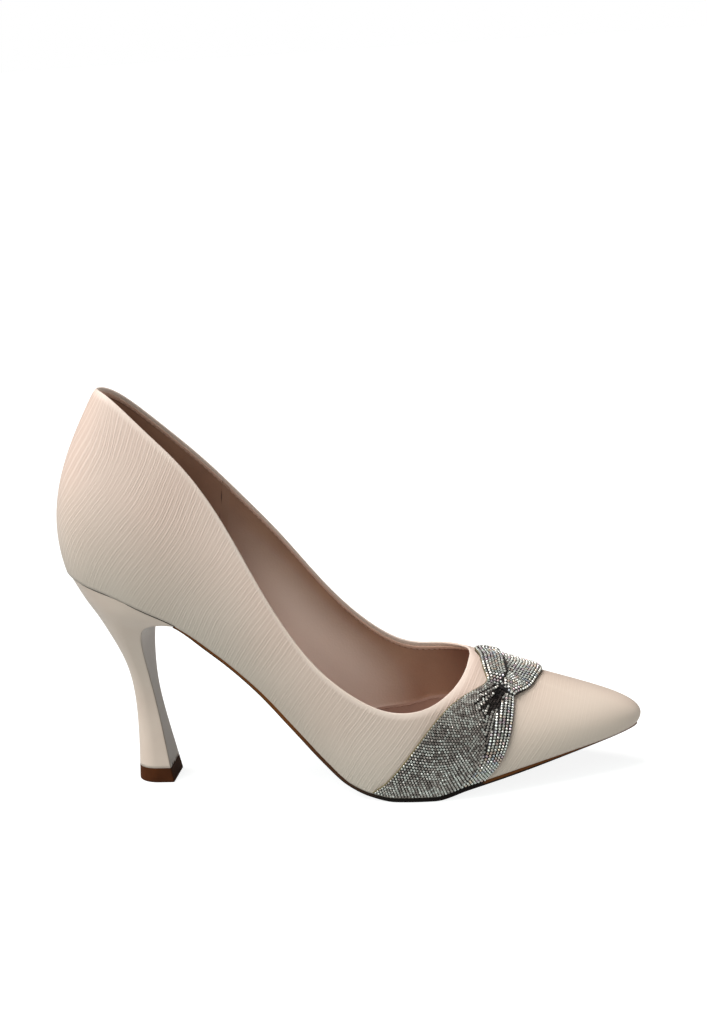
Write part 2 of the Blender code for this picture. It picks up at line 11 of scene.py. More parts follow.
import bpy
import numpy as np
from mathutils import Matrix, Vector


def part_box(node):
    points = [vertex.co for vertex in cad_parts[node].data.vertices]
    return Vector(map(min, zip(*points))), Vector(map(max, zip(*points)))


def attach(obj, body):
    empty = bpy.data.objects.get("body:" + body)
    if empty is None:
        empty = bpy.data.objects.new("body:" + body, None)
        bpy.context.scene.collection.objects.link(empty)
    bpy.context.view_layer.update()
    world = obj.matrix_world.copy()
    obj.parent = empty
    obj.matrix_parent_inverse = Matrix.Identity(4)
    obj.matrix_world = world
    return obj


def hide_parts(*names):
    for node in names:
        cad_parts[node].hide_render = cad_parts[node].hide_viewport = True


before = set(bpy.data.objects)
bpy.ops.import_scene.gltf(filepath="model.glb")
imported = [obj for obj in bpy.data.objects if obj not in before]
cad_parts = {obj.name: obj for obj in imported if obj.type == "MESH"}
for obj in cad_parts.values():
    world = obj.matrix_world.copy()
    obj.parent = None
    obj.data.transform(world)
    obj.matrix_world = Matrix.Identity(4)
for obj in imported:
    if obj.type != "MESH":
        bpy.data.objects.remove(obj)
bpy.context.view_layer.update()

MM = 0.001
random = np.random.default_rng(7)

# Driving sizes of the last, as in the part's source
LENGTH, BALL_WIDTH = 226.0, 72.0
HEEL_HEIGHT, BACK_HEIGHT, TOE_SPRING = 87.0, 160.0, 17.0
WALL, SOLE, INSOLE, TOP_LIFT = 1.6, 2.0, 2.4, 6.0       # thicknesses
GAP, SOLE_INSET = 0.3, 0.4
BREAST = 0.212 * LENGTH

# Bottom line: along in hundredths of LENGTH, heel_share of HEEL_HEIGHT, toe_share of TOE_SPRING
BottomRow = namedtuple("BottomRow", "along heel_share toe_share")
BOTTOM_LINE = [BottomRow(*row) for row in (
    (0.0, 1.006, 0.0), (4.5, 0.966, 0.0), (9.7, 0.922, 0.0), (16.0, 0.844, 0.0), (22.1, 0.761, 0.0),
    (28.3, 0.635, 0.0), (34.5, 0.481, 0.0), (40.7, 0.300, 0.0), (46.0, 0.154, 0.0), (50.0, 0.065, 0.0),
    (54.0, 0.020, 0.0), (58.4, 0.0, 0.0), (65.0, 0.0, 0.0), (70.8, 0.0, 0.19), (79.7, 0.0, 0.44),
    (89.8, 0.0, 0.72), (100.0, 0.0, 1.0),
)]

# Feather edge, where the upper meets the sole: along in hundredths of LENGTH, lateral and medial in
# hundredths of BALL_WIDTH; the wall leaves it with a flare (degrees outwards) and a rise (mm of pull)
FeatherRow = namedtuple("FeatherRow", "place along lateral medial flare_lateral flare_medial rise")
FEATHER = [FeatherRow(*row) for row in (
    ("back", 0.7, 0.0, 0.0, 14, 14, 28.0),
    ("heel_corner", 2.9, 18.8, 18.8, 15, 15, 27.0),
    ("heel_side", 8.0, 29.6, 29.6, 14, 14, 25.0),
    ("seat", 15.0, 33.3, 32.6, 13, 13, 23.0),
    ("breast", 22.1, 32.6, 29.2, 14, 20, 20.0),
    ("rear_waist", 29.2, 31.0, 25.5, 16, 28, 18.0),
    ("waist", 36.3, 31.4, 24.3, 16, 32, 16.0),
    ("front_waist", 43.4, 35.8, 28.0, 14, 28, 14.0),
    ("joint", 50.4, 43.0, 36.0, 12, 20, 13.0),
    ("ball", 58.4, 48.6, 45.4, 9, 12, 12.0),
    ("ball_front", 66.4, 47.6, 50.0, 8, 9, 12.0),
    ("vamp", 74.3, 41.0, 47.0, 9, 9, 11.0),
    ("toes", 82.3, 31.0, 39.4, 10, 10, 11.0),
    ("toe_box", 89.8, 19.5, 29.0, 12, 12, 11.0),
    ("toe_shoulder", 96.2, 8.4, 18.6, 17, 17, 11.0),
    ("tip", 99.9, -5.5, 5.5, 25, 25, 11.0),
)]

# Topline: along in hundredths of LENGTH, lateral and medial in hundredths of BALL_WIDTH, heights in
# hundredths of BACK_HEIGHT; the wall comes up to it with a lean (degrees from upright) and a fall (mm)
ToplineRow = namedtuple("ToplineRow", "place along lateral medial height_lateral height_medial lean fall")
TOPLINE = [ToplineRow(*row) for row in (
    ("back", 9.0, 0.0, 0.0, 100.0, 100.0, 30, 26.0),
    ("heel_corner", 9.9, 7.0, 7.0, 99.8, 99.6, 28, 26.0),
    ("heel_side", 13.1, 14.2, 14.2, 97.2, 96.4, 22, 24.0),
    ("seat", 19.0, 22.5, 22.5, 89.9, 87.9, 15, 22.0),
    ("breast", 25.2, 28.6, 28.6, 81.3, 78.6, 10, 18.0),
    ("rear_waist", 31.4, 34.2, 34.2, 68.6, 68.1, 7, 16.0),
    ("waist", 37.6, 39.7, 39.7, 51.9, 56.9, 6, 14.0),
    ("front_waist", 44.2, 44.4, 44.4, 37.2, 44.1, 6, 11.0),
    ("joint", 50.7, 47.9, 47.9, 28.3, 34.1, 7, 9.0),
    ("ball", 57.5, 48.9, 48.9, 23.1, 28.0, 10, 9.0),
    ("ball_front", 63.5, 44.9, 44.9, 22.5, 27.6, 22, 9.0),
    ("vamp", 67.3, 33.3, 33.9, 24.1, 28.7, 42, 13.0),
    ("toes", 69.5, 20.1, 22.2, 26.2, 29.6, 59, 22.0),
    ("toe_box", 70.5, 8.3, 13.9, 28.0, 30.0, 67, 34.0),
    ("toe_shoulder", 70.8, 0.7, 8.6, 29.2, 29.9, 70, 41.0),
    ("tip", 70.9, -4.2, 4.2, 29.7, 29.7, 71, 45.0),
)]

# The heel below its seat: the line of the back and of the breast, and half the width, in mm
HeelRow = namedtuple("HeelRow", "back back_height breast breast_height half_width")
HEEL = [HeelRow(*row) for row in (
    (8.4, 78.8, 43.4, 68.8, 21.5),
    (12.9, 71.6, 37.0, 67.4, 18.3),
    (16.8, 64.3, 33.6, 64.0, 15.4),
    (20.2, 56.8, 32.6, 57.2, 12.0),
    (23.0, 48.5, 32.9, 48.6, 8.4),
    (24.7, 39.0, 33.8, 39.0, 5.9),
    (25.3, 28.0, 35.4, 28.0, 5.5),
    (25.1, 16.0, 37.3, 16.0, 6.9),
    (24.6, TOP_LIFT, 38.9, TOP_LIFT, 8.4),
)]
HEEL_FOOT = HeelRow(24.2, 0.0, 40.0, 0.0, 8.8)
ROUND_SHARE = 0.6               # of a section's length, taken by the round back
SEAT_FADE = 2.0                 # rows over which the seat's own outline fades out
HEEL_STEP, HEEL_STEP_REACH = 1.1, 22.0  # mm that the seat stands in at the back, and how far forward
LIP = 0.5

# The band's rear and front edges on the upper's skin: around counts sections, share runs from the feather
# edge to the topline
BandRow = namedtuple("BandRow", "place rear_around rear_share front_around front_share")
BAND = [BandRow(*row) for row in (
    ("lateral_sole", 8.50, 0.005, 10.90, 0.005),
    ("lateral_wall", 9.10, 0.29, 11.25, 0.15),
    ("lateral_side", 9.80, 0.64, 11.60, 0.35),
    ("lateral_vamp", 10.70, 0.87, 12.05, 0.56),
    ("gather", 11.80, 0.89, 12.45, 0.685),
    ("knot", 12.60, 0.885, 12.75, 0.725),
    ("loops", 13.30, 0.94, 13.47, 0.73),
    ("ridge", 15.00, 0.975, 14.80, 0.765),
    ("medial_vamp", 16.80, 0.975, 16.20, 0.72),
    ("medial_side", 18.00, 0.86, 17.50, 0.60),
    ("medial_bulge", 19.80, 0.64, 18.40, 0.36),
    ("medial_wall", 20.70, 0.34, 18.80, 0.16),
    ("medial_sole", 21.30, 0.005, 19.00, 0.005),
)]
KNOT_ROW, BAND_END = 5, len(BAND) - 1
BAND_BASE = 1.0         # mm, thickness of the band where it lies flat
# The fan's pleats, in mm of height: rows over which they come, go and reach from the knot
PLEAT_START, PLEAT_END, PLEAT_REACH = (0.3, 2.0), (4.7, 5.6), 2.2
MAIN_PLEAT, SIDE_PLEAT, SIDE_FULLNESS = 1.0, 1.1, 0.7
FOLD, FOLD_DEPTH, FOLD_WIDTH = 0.79, 0.35, 0.05         # the fold between them: across, mm deep, across wide
# The loops: rows where they rise and come down, mm off the skin, and the rear one's step over the front one
LOOP_START, LOOP_LIFT_END, LOOP_LIFT = (5.0, 5.8), (7.5, 9.5), 1.0
LOOP_STEP, LOOP_STEP_LEFT, LOOP_ARCH = 1.7, 0.5, 0.3
LOOP_SPLIT, LOOP_SPLIT_ROWS = (0.43, 0.30), (6.0, 7.5)  # across of the rear loop's front edge, and the rows
# The knot: places across, the row and slant of its lower edge, rows that it spans, its bulge in mm
KNOT_REAR, KNOT_OVERHANG = 0.42, 0.02
KNOT_START, KNOT_SLANT, KNOT_SPAN = 5.12, 1.33, 1.15
KNOT_LEAN, KNOT_RISE, KNOT_EDGE = 0.6, 1.9, 0.3

# What the solids leave to this script
LEATHER = 1.0           # thickness of the upper's leather; the lining makes up the rest of the wall
LINING_DROP = 2.1       # the lining's edge lies this far under the topline
STONE_PITCH, STONE_WIDTH, STONE_TALL = 1.22, 1.04, 0.46

# Where the shoe's own origin lies in the frame, from the top lift, whose place on the shoe is known
lift_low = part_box("top_lift")[0]
ORIGIN = np.array([HEEL_FOOT.back - lift_low.x / MM, -HEEL_FOOT.half_width - lift_low.y / MM, 0.0])


def to_frame(points):
    """Shoe millimetres to the frame's metres."""
    return (np.asarray(points, float) - ORIGIN) * MM


# Curves and the last


def hermite(t, start, end, start_slope, end_slope):
    """Cubic from start to end with the slopes given there, and its own slope, at t from 0 to 1."""
    value = ((1 + 2 * t) * (1 - t) ** 2 * start + t * (1 - t) ** 2 * start_slope
             + t * t * (3 - 2 * t) * end + t * t * (t - 1) * end_slope)
    return value, (6 * t * (t - 1) * (start - end) + (1 - t) * (1 - 3 * t) * start_slope
                   + t * (3 * t - 2) * end_slope)


def monotone_curve(at, known, values):
    """Cubic through the known points that never overshoots, and its slope: end slopes are the secants',
    inner ones their weighted harmonic mean, or 0 where the secants change sign."""
    at, known, values = (np.asarray(x, float) for x in (at, known, values))
    step = np.diff(known)
    secant = np.diff(values) / step
    slope = np.zeros(len(known))
    rising = secant[:-1] * secant[1:] > 0
    weight_a, weight_b = 2 * step[1:] + step[:-1], step[1:] + 2 * step[:-1]
    safe = np.where(rising, secant[:-1] * secant[1:], 1.0)
    mean = (weight_a + weight_b) * safe / (weight_a * np.where(rising, secant[1:], 1.0)
                                           + weight_b * np.where(rising, secant[:-1], 1.0))
    slope[1:-1] = np.where(rising, mean, 0.0)
    slope[0], slope[-1] = secant[0], secant[-1]
    i = np.clip(np.searchsorted(known, at, side="right") - 1, 0, len(step) - 1)
    t, h = (at - known[i]) / step[i], step[i]
    value, grade = hermite(t, values[i], values[i + 1], h * slope[i], h * slope[i + 1])
    return value, grade / h


def closed_curve(rows, at):
    """Closed cubic spline with continuous curvature through rows at 0, 1, 2 and so on: points and slopes."""
    rows = np.asarray(rows, float)
    count = len(rows)
    same = np.eye(count)
    system = 4 * same + np.roll(same, 1, axis=1) + np.roll(same, -1, axis=1)
    slope = np.linalg.solve(system, 3 * (np.roll(rows, -1, axis=0) - np.roll(rows, 1, axis=0)))
    i = np.floor(at).astype(int)
    t = (at - i)[:, None]
    a, b = i % count, (i + 1) % count
    return hermite(t, rows[a], rows[b], slope[a], slope[b])


def open_curve(rows, at):
    """Cubic spline with continuous curvature through rows at 0, 1, 2 and so on, straight at both ends."""
    rows = np.asarray(rows, float)
    count = len(rows)
    system = 4 * np.eye(count) + np.eye(count, k=1) + np.eye(count, k=-1)
    system[0, 0] = system[-1, -1] = 2
    pull = np.zeros_like(rows)
    pull[1:-1] = 3 * (rows[2:] - rows[:-2])
    pull[0], pull[-1] = 3 * (rows[1] - rows[0]), 3 * (rows[-1] - rows[-2])
    slope = np.linalg.solve(system, pull)
    i = np.clip(np.floor(at).astype(int), 0, count - 2)
    t = (at - i)[:, None]
    return hermite(t, rows[i], rows[i + 1], slope[i], slope[i + 1])[0]


def step_up(x, start, end):
    """0 before start, 1 after end, and 3t2 - 2t3 between."""
    t = np.clip((x - start) / (end - start), 0, 1)
    return t * t * (3 - 2 * t)


def unit(vectors):
    """Vectors of length 1 in the same directions."""
    return vectors / np.linalg.norm(vectors, axis=-1, keepdims=True)


def square_to(axis, vectors):
    """Unit vectors square to unit axes, in the planes of the axes and the vectors given."""
    return unit(vectors - axis * (vectors * axis).sum(axis=1, keepdims=True))


def length_along(path):
    """Length from the start of a path to each of its points."""
    return np.concatenate([[0], np.cumsum(np.linalg.norm(np.diff(path, axis=0), axis=1))])


def bottom_height(x):
    """Height and slope of the shoe's bottom line at x."""
    known = [row.along * LENGTH / 100 for row in BOTTOM_LINE]
    height = [row.heel_share * HEEL_HEIGHT + row.toe_share * TOE_SPRING for row in BOTTOM_LINE]
    return monotone_curve(np.clip(x, known[0], known[-1]), known, height)


def on_bottom(x, y, above):
    """A flat pattern bent to the arch: each point stands square to the bottom line, at a height above it."""
    height, grade = bottom_height(x)
    steep = np.hypot(1, grade)
    return np.stack([x - above * grade / steep, y, height + above / steep], axis=-1)


def round_the_last(rows, row_of):
    """Rows for one way round: out along the lateral side (-1), home along the medial side (1). row_of makes a
    row for a side."""
    return np.array([row_of(row, -1) for row in rows] + [row_of(row, 1) for row in rows[-2:0:-1]], float)


def feather_rows():
    """Along, across, flare and rise of the feather edge, one way round."""
    return round_the_last(FEATHER, lambda r, side: (
        r.along * LENGTH / 100, side * (r.lateral if side < 0 else r.medial) * BALL_WIDTH / 100,
        math.radians(r.flare_lateral if side < 0 else r.flare_medial), r.rise))


def topline_rows():
    """Along, across, height, lean and fall of the topline, one way round."""
    return round_the_last(TOPLINE, lambda r, side: (
        r.along * LENGTH / 100, side * (r.lateral if side < 0 else r.medial) * BALL_WIDTH / 100,
        (r.height_lateral if side < 0 else r.height_medial) * BACK_HEIGHT / 100,
        math.radians(r.lean), r.fall))


SECTIONS = 2 * len(FEATHER) - 2


def outward(slopes):
    """Level unit normals that point out of a loop run lateral side first: the slope turned a quarter."""
    return unit(np.stack([slopes[:, 1], -slopes[:, 0], np.zeros(len(slopes))], axis=-1))


def upper_skin(around, share):
    """Outer skin of the upper: around counts sections, share is 0 at the feather edge and 1 at the topline.
    Each section is a cubic Bezier arc whose end tangents follow the wall's flare and lean."""
    around, share = np.asarray(around, float), np.asarray(share, float)
    feather, feather_slope = closed_curve(feather_rows(), around)
    top, top_slope = closed_curve(topline_rows(), around)
    up = np.array([0.0, 0.0, 1.0])
    flare, rise = feather[:, 2:3], feather[:, 3:4]
    lean, fall = top[:, 3:4], top[:, 4:5]
    start = on_bottom(feather[:, 0], feather[:, 1], SOLE + GAP)
    end = top[:, :3]
    start_pull = start + rise * (np.sin(flare) * outward(feather_slope) + np.cos(flare) * up)
    end_pull = end + fall * (np.sin(lean) * outward(top_slope) - np.cos(lean) * up)
    v = share[:, None]
    return ((1 - v) ** 3 * start + 3 * (1 - v) ** 2 * v * start_pull
            + 3 * (1 - v) * v * v * end_pull + v ** 3 * end)


def skin_frame(around, share):
    """Points, outward normals and upward tangents (mm for each unit of share) of the upper's skin."""
    reach = 0.01
    along = upper_skin(around + reach, share) - upper_skin(around - reach, share)
    rising = (upper_skin(around, share + reach) - upper_skin(around, share - reach)) / (2 * reach)
    return upper_skin(around, share), unit(np.cross(along, rising)), rising


# Meshes


def quads(first, second, first_closed=False, second_closed=False):
    """Cells of a grid of points, seen from the side that (first direction) x (second direction) points to."""
    i = np.arange(first if first_closed else first - 1)
    j = np.arange(second if second_closed else second - 1)
    i, j = (index.ravel() for index in np.meshgrid(i, j, indexing="ij"))
    beside, above = (i + 1) % first, (j + 1) % second
    i, beside = i * second, beside * second
    return np.stack([i + j, beside + j, beside + above, i + above], axis=-1)


def ladder(ring):
    """Cells across a ring of points, rung by rung, between its outgoing and its returning half."""
    k = np.arange(len(ring) // 2 - 1)
    return np.stack([ring[k], ring[k + 1], ring[len(ring) - 2 - k], ring[len(ring) - 1 - k]], axis=-1)


def loft_cells(ring_count, levels):
    """Cells of rings joined level by level and closed at both ends by ladders."""
    ring = np.arange(ring_count) * levels
    return np.concatenate([quads(ring_count, levels, first_closed=True),
                           ladder(ring)[:, ::-1], ladder(ring + levels - 1)])


def add_piece(name, points, cells, material, slot, smooth=True, **attributes):
    """One piece of the shoe from points in shoe millimetres and four-cornered cells."""
    mesh = bpy.data.meshes.new(name)
    mesh.vertices.add(len(points))
    mesh.vertices.foreach_set("co", to_frame(points).astype(np.float32).ravel())
    mesh.loops.add(cells.size)
    mesh.loops.foreach_set("vertex_index", cells.astype(np.int32).ravel())
    mesh.polygons.add(len(cells))
    mesh.polygons.foreach_set("loop_start", np.arange(0, cells.size, 4, dtype=np.int32))
    mesh.polygons.foreach_set("use_smooth", np.full(len(cells), smooth))
    for key, values in attributes.items():
        layer = mesh.attributes.new(key, "FLOAT", "POINT")
        layer.data.foreach_set("value", np.asarray(values, np.float32).ravel())
    mesh.update(calc_edges=True)
    mesh.materials.append(material)
    piece = bpy.data.objects.new(name, mesh)
    bpy.context.scene.collection.objects.link(piece)
    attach(piece, "root")
    return piece


def add_loft(name, rings, material, slot, **attributes):
    """A piece from a grid of points, ring by level, closed at both ends."""
    return add_piece(name, rings.reshape(-1, 3), loft_cells(*rings.shape[:2]), material, slot, **attributes)


def turned_shape(sides, radius, height, first=0.0):
    """A small turned shape: rings of corners about its third axis, each with its radius and height. first is
    where the first corner lies, counted in corners."""
    turn = 2 * math.pi * (np.arange(sides)[:, None] + first) / sides
    return np.stack([radius * np.cos(turn), radius * np.sin(turn), height + 0 * turn], axis=-1)


def add_many(name, shape, origins, axes, material, slot, **settings):
    """One piece of many equal shapes: each stands at its origin, its coordinates along its three axes."""
    points = origins[:, None] + np.einsum("kc,cnd->nkd", shape.reshape(-1, 3), np.stack(axes))
    cells = loft_cells(*shape.shape[:2]) + points.shape[1] * np.arange(len(points))[:, None, None]
    return add_piece(name, points.reshape(-1, 3), cells.reshape(-1, 4), material, slot, **settings)


def tube(path, out, radius, sides=8):
    """A round cord along a path: rings about its tangent, first towards out."""
    along = unit(np.gradient(path, axis=0))
    first = square_to(along, out)
    second = np.cross(along, first)
    turn = 2 * math.pi * np.arange(sides)[:, None, None] / sides
    return path + radius * (first * np.cos(turn) + second * np.sin(turn))


# Materials


def linear(hex_colour):
    """An sRGB hex colour as linear RGBA."""
    srgb = np.array([int(hex_colour[k:k + 2], 16) for k in (1, 3, 5)]) / 255
    rgb = np.where(srgb <= 0.04045, srgb / 12.92, ((srgb + 0.055) / 1.055) ** 2.4)
    return (*rgb.tolist(), 1.0)


def node(tree, kind, inputs, output=0, **settings):
    """Adds a node, or takes the one given, with its inputs and settings, and gives one of its outputs.
    A socket among the inputs is linked."""
    made = tree.nodes.new("ShaderNode" + kind) if isinstance(kind, str) else kind
    for key, value in settings.items():
        setattr(made, key, value)
    for key, value in inputs.items():
        if isinstance(value, bpy.types.NodeSocket):
            tree.links.new(value, made.inputs[key])
        else:
            made.inputs[key].default_value = value
    return made.outputs[output]


def new_material(name):
    """An empty material, what adds nodes to it, and its main shader."""
    material = bpy.data.materials.new(name)
    material.use_nodes = True
    tree = material.node_tree
    return material, partial(node, tree), tree.nodes["Principled BSDF"]


def per_metre(size_mm):
    """Texture scale for features of a size in millimetres."""
    return 1 / (size_mm * MM)


def noises(add, detail, *sizes_mm):
    """Cloudy patterns on the shoe's own coordinates, one for each size."""
    place = add("TexCoord", {}, "Object")
    return [add("TexNoise", {"Vector": place, "Scale": per_metre(size), "Detail": detail})
            for size in sizes_mm]


def layered(add, skin, layers):
    """Colours laid over a skin. Each grows from none at one value of an attribute to its most at another."""
    for name, none_at, most_at, colour, most in layers:
        value = add("Attribute", {}, "Fac", attribute_name=name)
        share = add("MapRange", {"Value": value, "From Min": none_at, "From Max": most_at, "To Max": most})
        skin = add("Mix", {0: share, 6: skin, 7: linear(colour)}, 2, data_type="RGBA")
    return skin


def set_stops(socket, stops):
    """Gives the colour ramp behind a socket its stops: places and hex colours."""
    elements = socket.node.color_ramp.elements
    for end in (0, -1):
        elements[end].position, elements[end].color = stops[end][0], linear(stops[end][1])
    for position, colour in stops[1:-1]:
        elements.new(position).color = linear(colour)


LOW_SHADE_REACH = 42.0           # painted shade: mm over the sole up to which the leather is painted greyer, away from the toe


def embossed_leather():
    """Coated synthetic leather, rolled with fine wavy lines: a satin skin whose thin ridges catch the light
    and are also painted lighter as a highlight. It is painted greyer towards the sole as the shade low on the
    sides, painted yellower at the toe as the colour of the light there, and painted paler at the folded
    topline as its highlight."""
    material, add, shader = new_material("embossed_synthetic_leather")
    waver, fading, pores, cloud = noises(add, 2.0, 9, 11, 0.45, 55)
    grain, emboss = (add("Attribute", {}, "Fac", attribute_name=name) for name in ("grain", "emboss"))
    phase = add("Math", {0: waver, 1: 0.3, 2: grain}, operation="MULTIPLY_ADD")
    angle = add("Math", {0: phase, 1: 2 * math.pi}, operation="MULTIPLY")
    twice = add("Math", {0: angle, 1: 2.0, 2: -1.4}, operation="MULTIPLY_ADD")
    stray = add("Math", {0: fading, 1: 9.0, 2: angle}, operation="MULTIPLY_ADD")
    stray = add("Math", {0: stray, 1: 1.62}, operation="MULTIPLY")
    broad, narrow, stray = (add("Math", {0: value}, operation="SINE") for value in (angle, twice, stray))
    wave = add("Math", {0: narrow, 1: 0.8, 2: broad}, operation="MULTIPLY_ADD")
    wave = add("Math", {0: stray, 1: 0.45, 2: wave}, operation="MULTIPLY_ADD")
    strength = add("MapRange", {"Value": fading, "From Min": 0.3, "From Max": 0.65, "To Min": 0.5,
                                "To Max": 1.1})
    depth = add("Math", {0: strength, 1: emboss}, operation="MULTIPLY")
    lines = add("Math", {0: wave, 1: depth}, operation="MULTIPLY")
    height = add("Math", {0: pores, 1: 0.35, 2: lines}, operation="MULTIPLY_ADD")
    bump = add("Bump", {"Height": height, "Strength": 1.0, "Distance": 0.026 * MM})
    # painted highlight: the lines' ridges are painted lighter than their hollows
    mixed = add("MapRange", {"Value": lines, "From Min": -0.75, "From Max": 1.5})
    skin = add("Mix", {0: mixed, 6: linear("#dac6b8"), 7: linear("#ead8cc")}, 2, data_type="RGBA")
    # painted shade: greyer towards the sole; painted light colour: yellower at the toe
    skin = layered(add, skin, [("to_sole", LOW_SHADE_REACH, 0.0, "#c6bfb2", 0.8), ("toe", 0.0, 1.0, "#ddd3c4", 0.72),
                               # painted highlight: paler at the topline's rolled edge
                               ("to_top", 3.2, 0.4, "#f4e9dd", 0.7)])
    shade = add("ValToRGB", {"Fac": cloud})
    set_stops(shade, [(0.35, "#f0e6e2"), (0.65, "#ffffff")])
    tone = add("Mix", {0: 0.35, 6: skin, 7: shade}, 2, data_type="RGBA", blend_type="MULTIPLY")
    add(shader, {"Base Color": tone, "Roughness": 0.46, "IOR": 1.5, "Normal": bump, "Coat Weight": 0.06,
                 "Coat Roughness": 0.35})
    return material


def plain_material(name, colour, dark, roughness, size_mm, depth_mm, coat=0.0, shine=0.5):
    """A matt or satin skin with a cloudy colour and a grain of one size, darker where a piece is creased."""
    material, add, shader = new_material(name)
    cloud, grain = noises(add, 3.0, 14 * size_mm, size_mm)
    bump = add("Bump", {"Height": grain, "Strength": 1.0, "Distance": depth_mm * MM})
    mixed = add("MapRange", {"Value": cloud, "From Min": 0.3, "From Max": 0.7})
    skin = add("Mix", {0: mixed, 6: linear(dark), 7: linear(colour)}, 2, data_type="RGBA")
    skin = layered(add, skin, [("crease", 0.0, 1.0, "#7d675c", 1.0)])
    rough = add("MapRange", {"Value": grain, "To Min": roughness - 0.06, "To Max": roughness + 0.06})
    add(shader, {"Base Color": skin, "Roughness": rough, "Specular IOR Level": shine, "Normal": bump,
                 "Coat Weight": coat, "Coat Roughness": 0.25})
    return material


def lining_material():
    """Pigskin lining: matt and fine-pored, painted pale in the middle as a patch of light that falls in and
    painted dark deep in the throat as the shade under the vamp, with a lighter collar under the topline, a
    dark line painted under the collar as its shadow, a pinker facing low on the sides and a dark line where
    pieces meet."""
    material, add, shader = new_material("pigskin_lining")
    cloud, = noises(add, 4.0, 16)
    pores, = noises(add, 3.0, 0.8)
    bump = add("Bump", {"Height": pores, "Strength": 1.0, "Distance": 0.06 * MM})
    mixed = add("MapRange", {"Value": cloud, "From Min": 0.3, "From Max": 0.7})
    skin = add("Mix", {0: mixed, 6: linear("#a07a64"), 7: linear("#af8970")}, 2, data_type="RGBA")
    # painted light: the pale middle; painted shade: dark deep in the throat
    skin = layered(add, skin, [("rub", 0.0, 1.0, "#fbe9db", 0.95), ("deep", 0.0, 1.0, "#7b5543", 0.7),
                               # painted shadow: the dark line under the collar
                               ("collar", 1.5, 1.2, "#d4b29e", 0.85), ("fold", 0.5, 0.2, "#533a2d", 0.6),
                               ("facing", -0.1, 0.1, "#ac8a7b", 0.9), ("join", 3.4, 3.2, "#a98873", 0.6),
                               ("seam", 0.35, 0.15, "#3d2a20", 0.8)])
    add(shader, {"Base Color": skin, "Roughness": 0.72, "IOR": 1.5, "Normal": bump})
    return material


def sole_edge_material():
    """Moulded rubber sole: matt, with a brown edge whose lower part and tread are painted nearly black as the
    shadow under the sole; under the ball the whole edge is painted black as shadow.
    """
    material, add, shader = new_material("moulded_rubber_sole")
    rise, brown = (add("Attribute", {}, "Fac", attribute_name=name) for name in ("rise", "brown"))
    # painted shadow: the edge's lower part, and the whole edge under the ball, go nearly black
    upper_half = add("MapRange", {"Value": rise, "From Min": 0.32, "From Max": 0.42})
    edge = add("Math", {0: upper_half, 1: brown}, operation="MULTIPLY")
    grit, = noises(add, 3.0, 0.5)
    bump = add("Bump", {"Height": grit, "Strength": 1.0, "Distance": 0.03 * MM})
    skin = add("Mix", {0: edge, 6: linear("#150d08"), 7: linear("#6e3f14")}, 2, data_type="RGBA")
    add(shader, {"Base Color": skin, "Roughness": 0.6, "Specular IOR Level": 0.2, "Normal": bump})
    return material


def stone_material():
    """Cut glass stones with a foil back: bright flat facets, most of them clear, a few warm or cool. The dark
    end of the scale is painted shade, for stones in the hollow and deep gathers and the duller reflection of
    the wide pleat.
    """
    material, add, shader = new_material("foil_backed_glass_stones")
    cast = add("ValToRGB", {"Fac": add("Attribute", {}, "Fac", attribute_name="tint")})
    set_stops(cast, [(0.0, "#1d1a19"), (0.1, "#5c5451"), (0.45, "#b5b0aa"), (0.88, "#e9f0ea"),
                     (0.92, "#d8c9b4"), (0.95, "#cdb9c1"), (0.98, "#b9c4cd"), (1.0, "#c4cfc0")])
    add(shader, {"Base Color": cast, "Metallic": 0.55, "Roughness": 0.26})
    return material


leather = embossed_leather()
lining_skin = lining_material()
sock_leather = plain_material("sock_lining_leather", "#b9988a", "#ab8877", 0.6, 0.7, 0.04)
heel_cover = plain_material("lacquered_heel_cover", "#dccdbf", "#d5c4b6", 0.36, 1.2, 0.006, coat=0.2)
lift_rubber = plain_material("moulded_rubber_lift", "#52290c", "#432008", 0.7, 0.5, 0.02, shine=0.15)
sole_rubber = sole_edge_material()
mesh_cloth = plain_material("dark_tulle_backing", "#1d1a19", "#131110", 0.8, 0.35, 0.08)
border_cloth = plain_material("folded_tulle_border", "#7b7250", "#665c40", 0.7, 0.4, 0.05)
lining_thread = plain_material("polyester_thread", "#ab8a79", "#9b7a69", 0.6, 0.2, 0.02)
# painted shadow with the joint: a black cord round the heel's seat, the joint's own dark line and the shade
# under the leather's overhang
seam_rubber = plain_material("seat_joint_and_shadow_cord", "#120c09", "#0c0806", 0.8, 0.3, 0.02, shine=0.1)
stones = stone_material()


# The upper

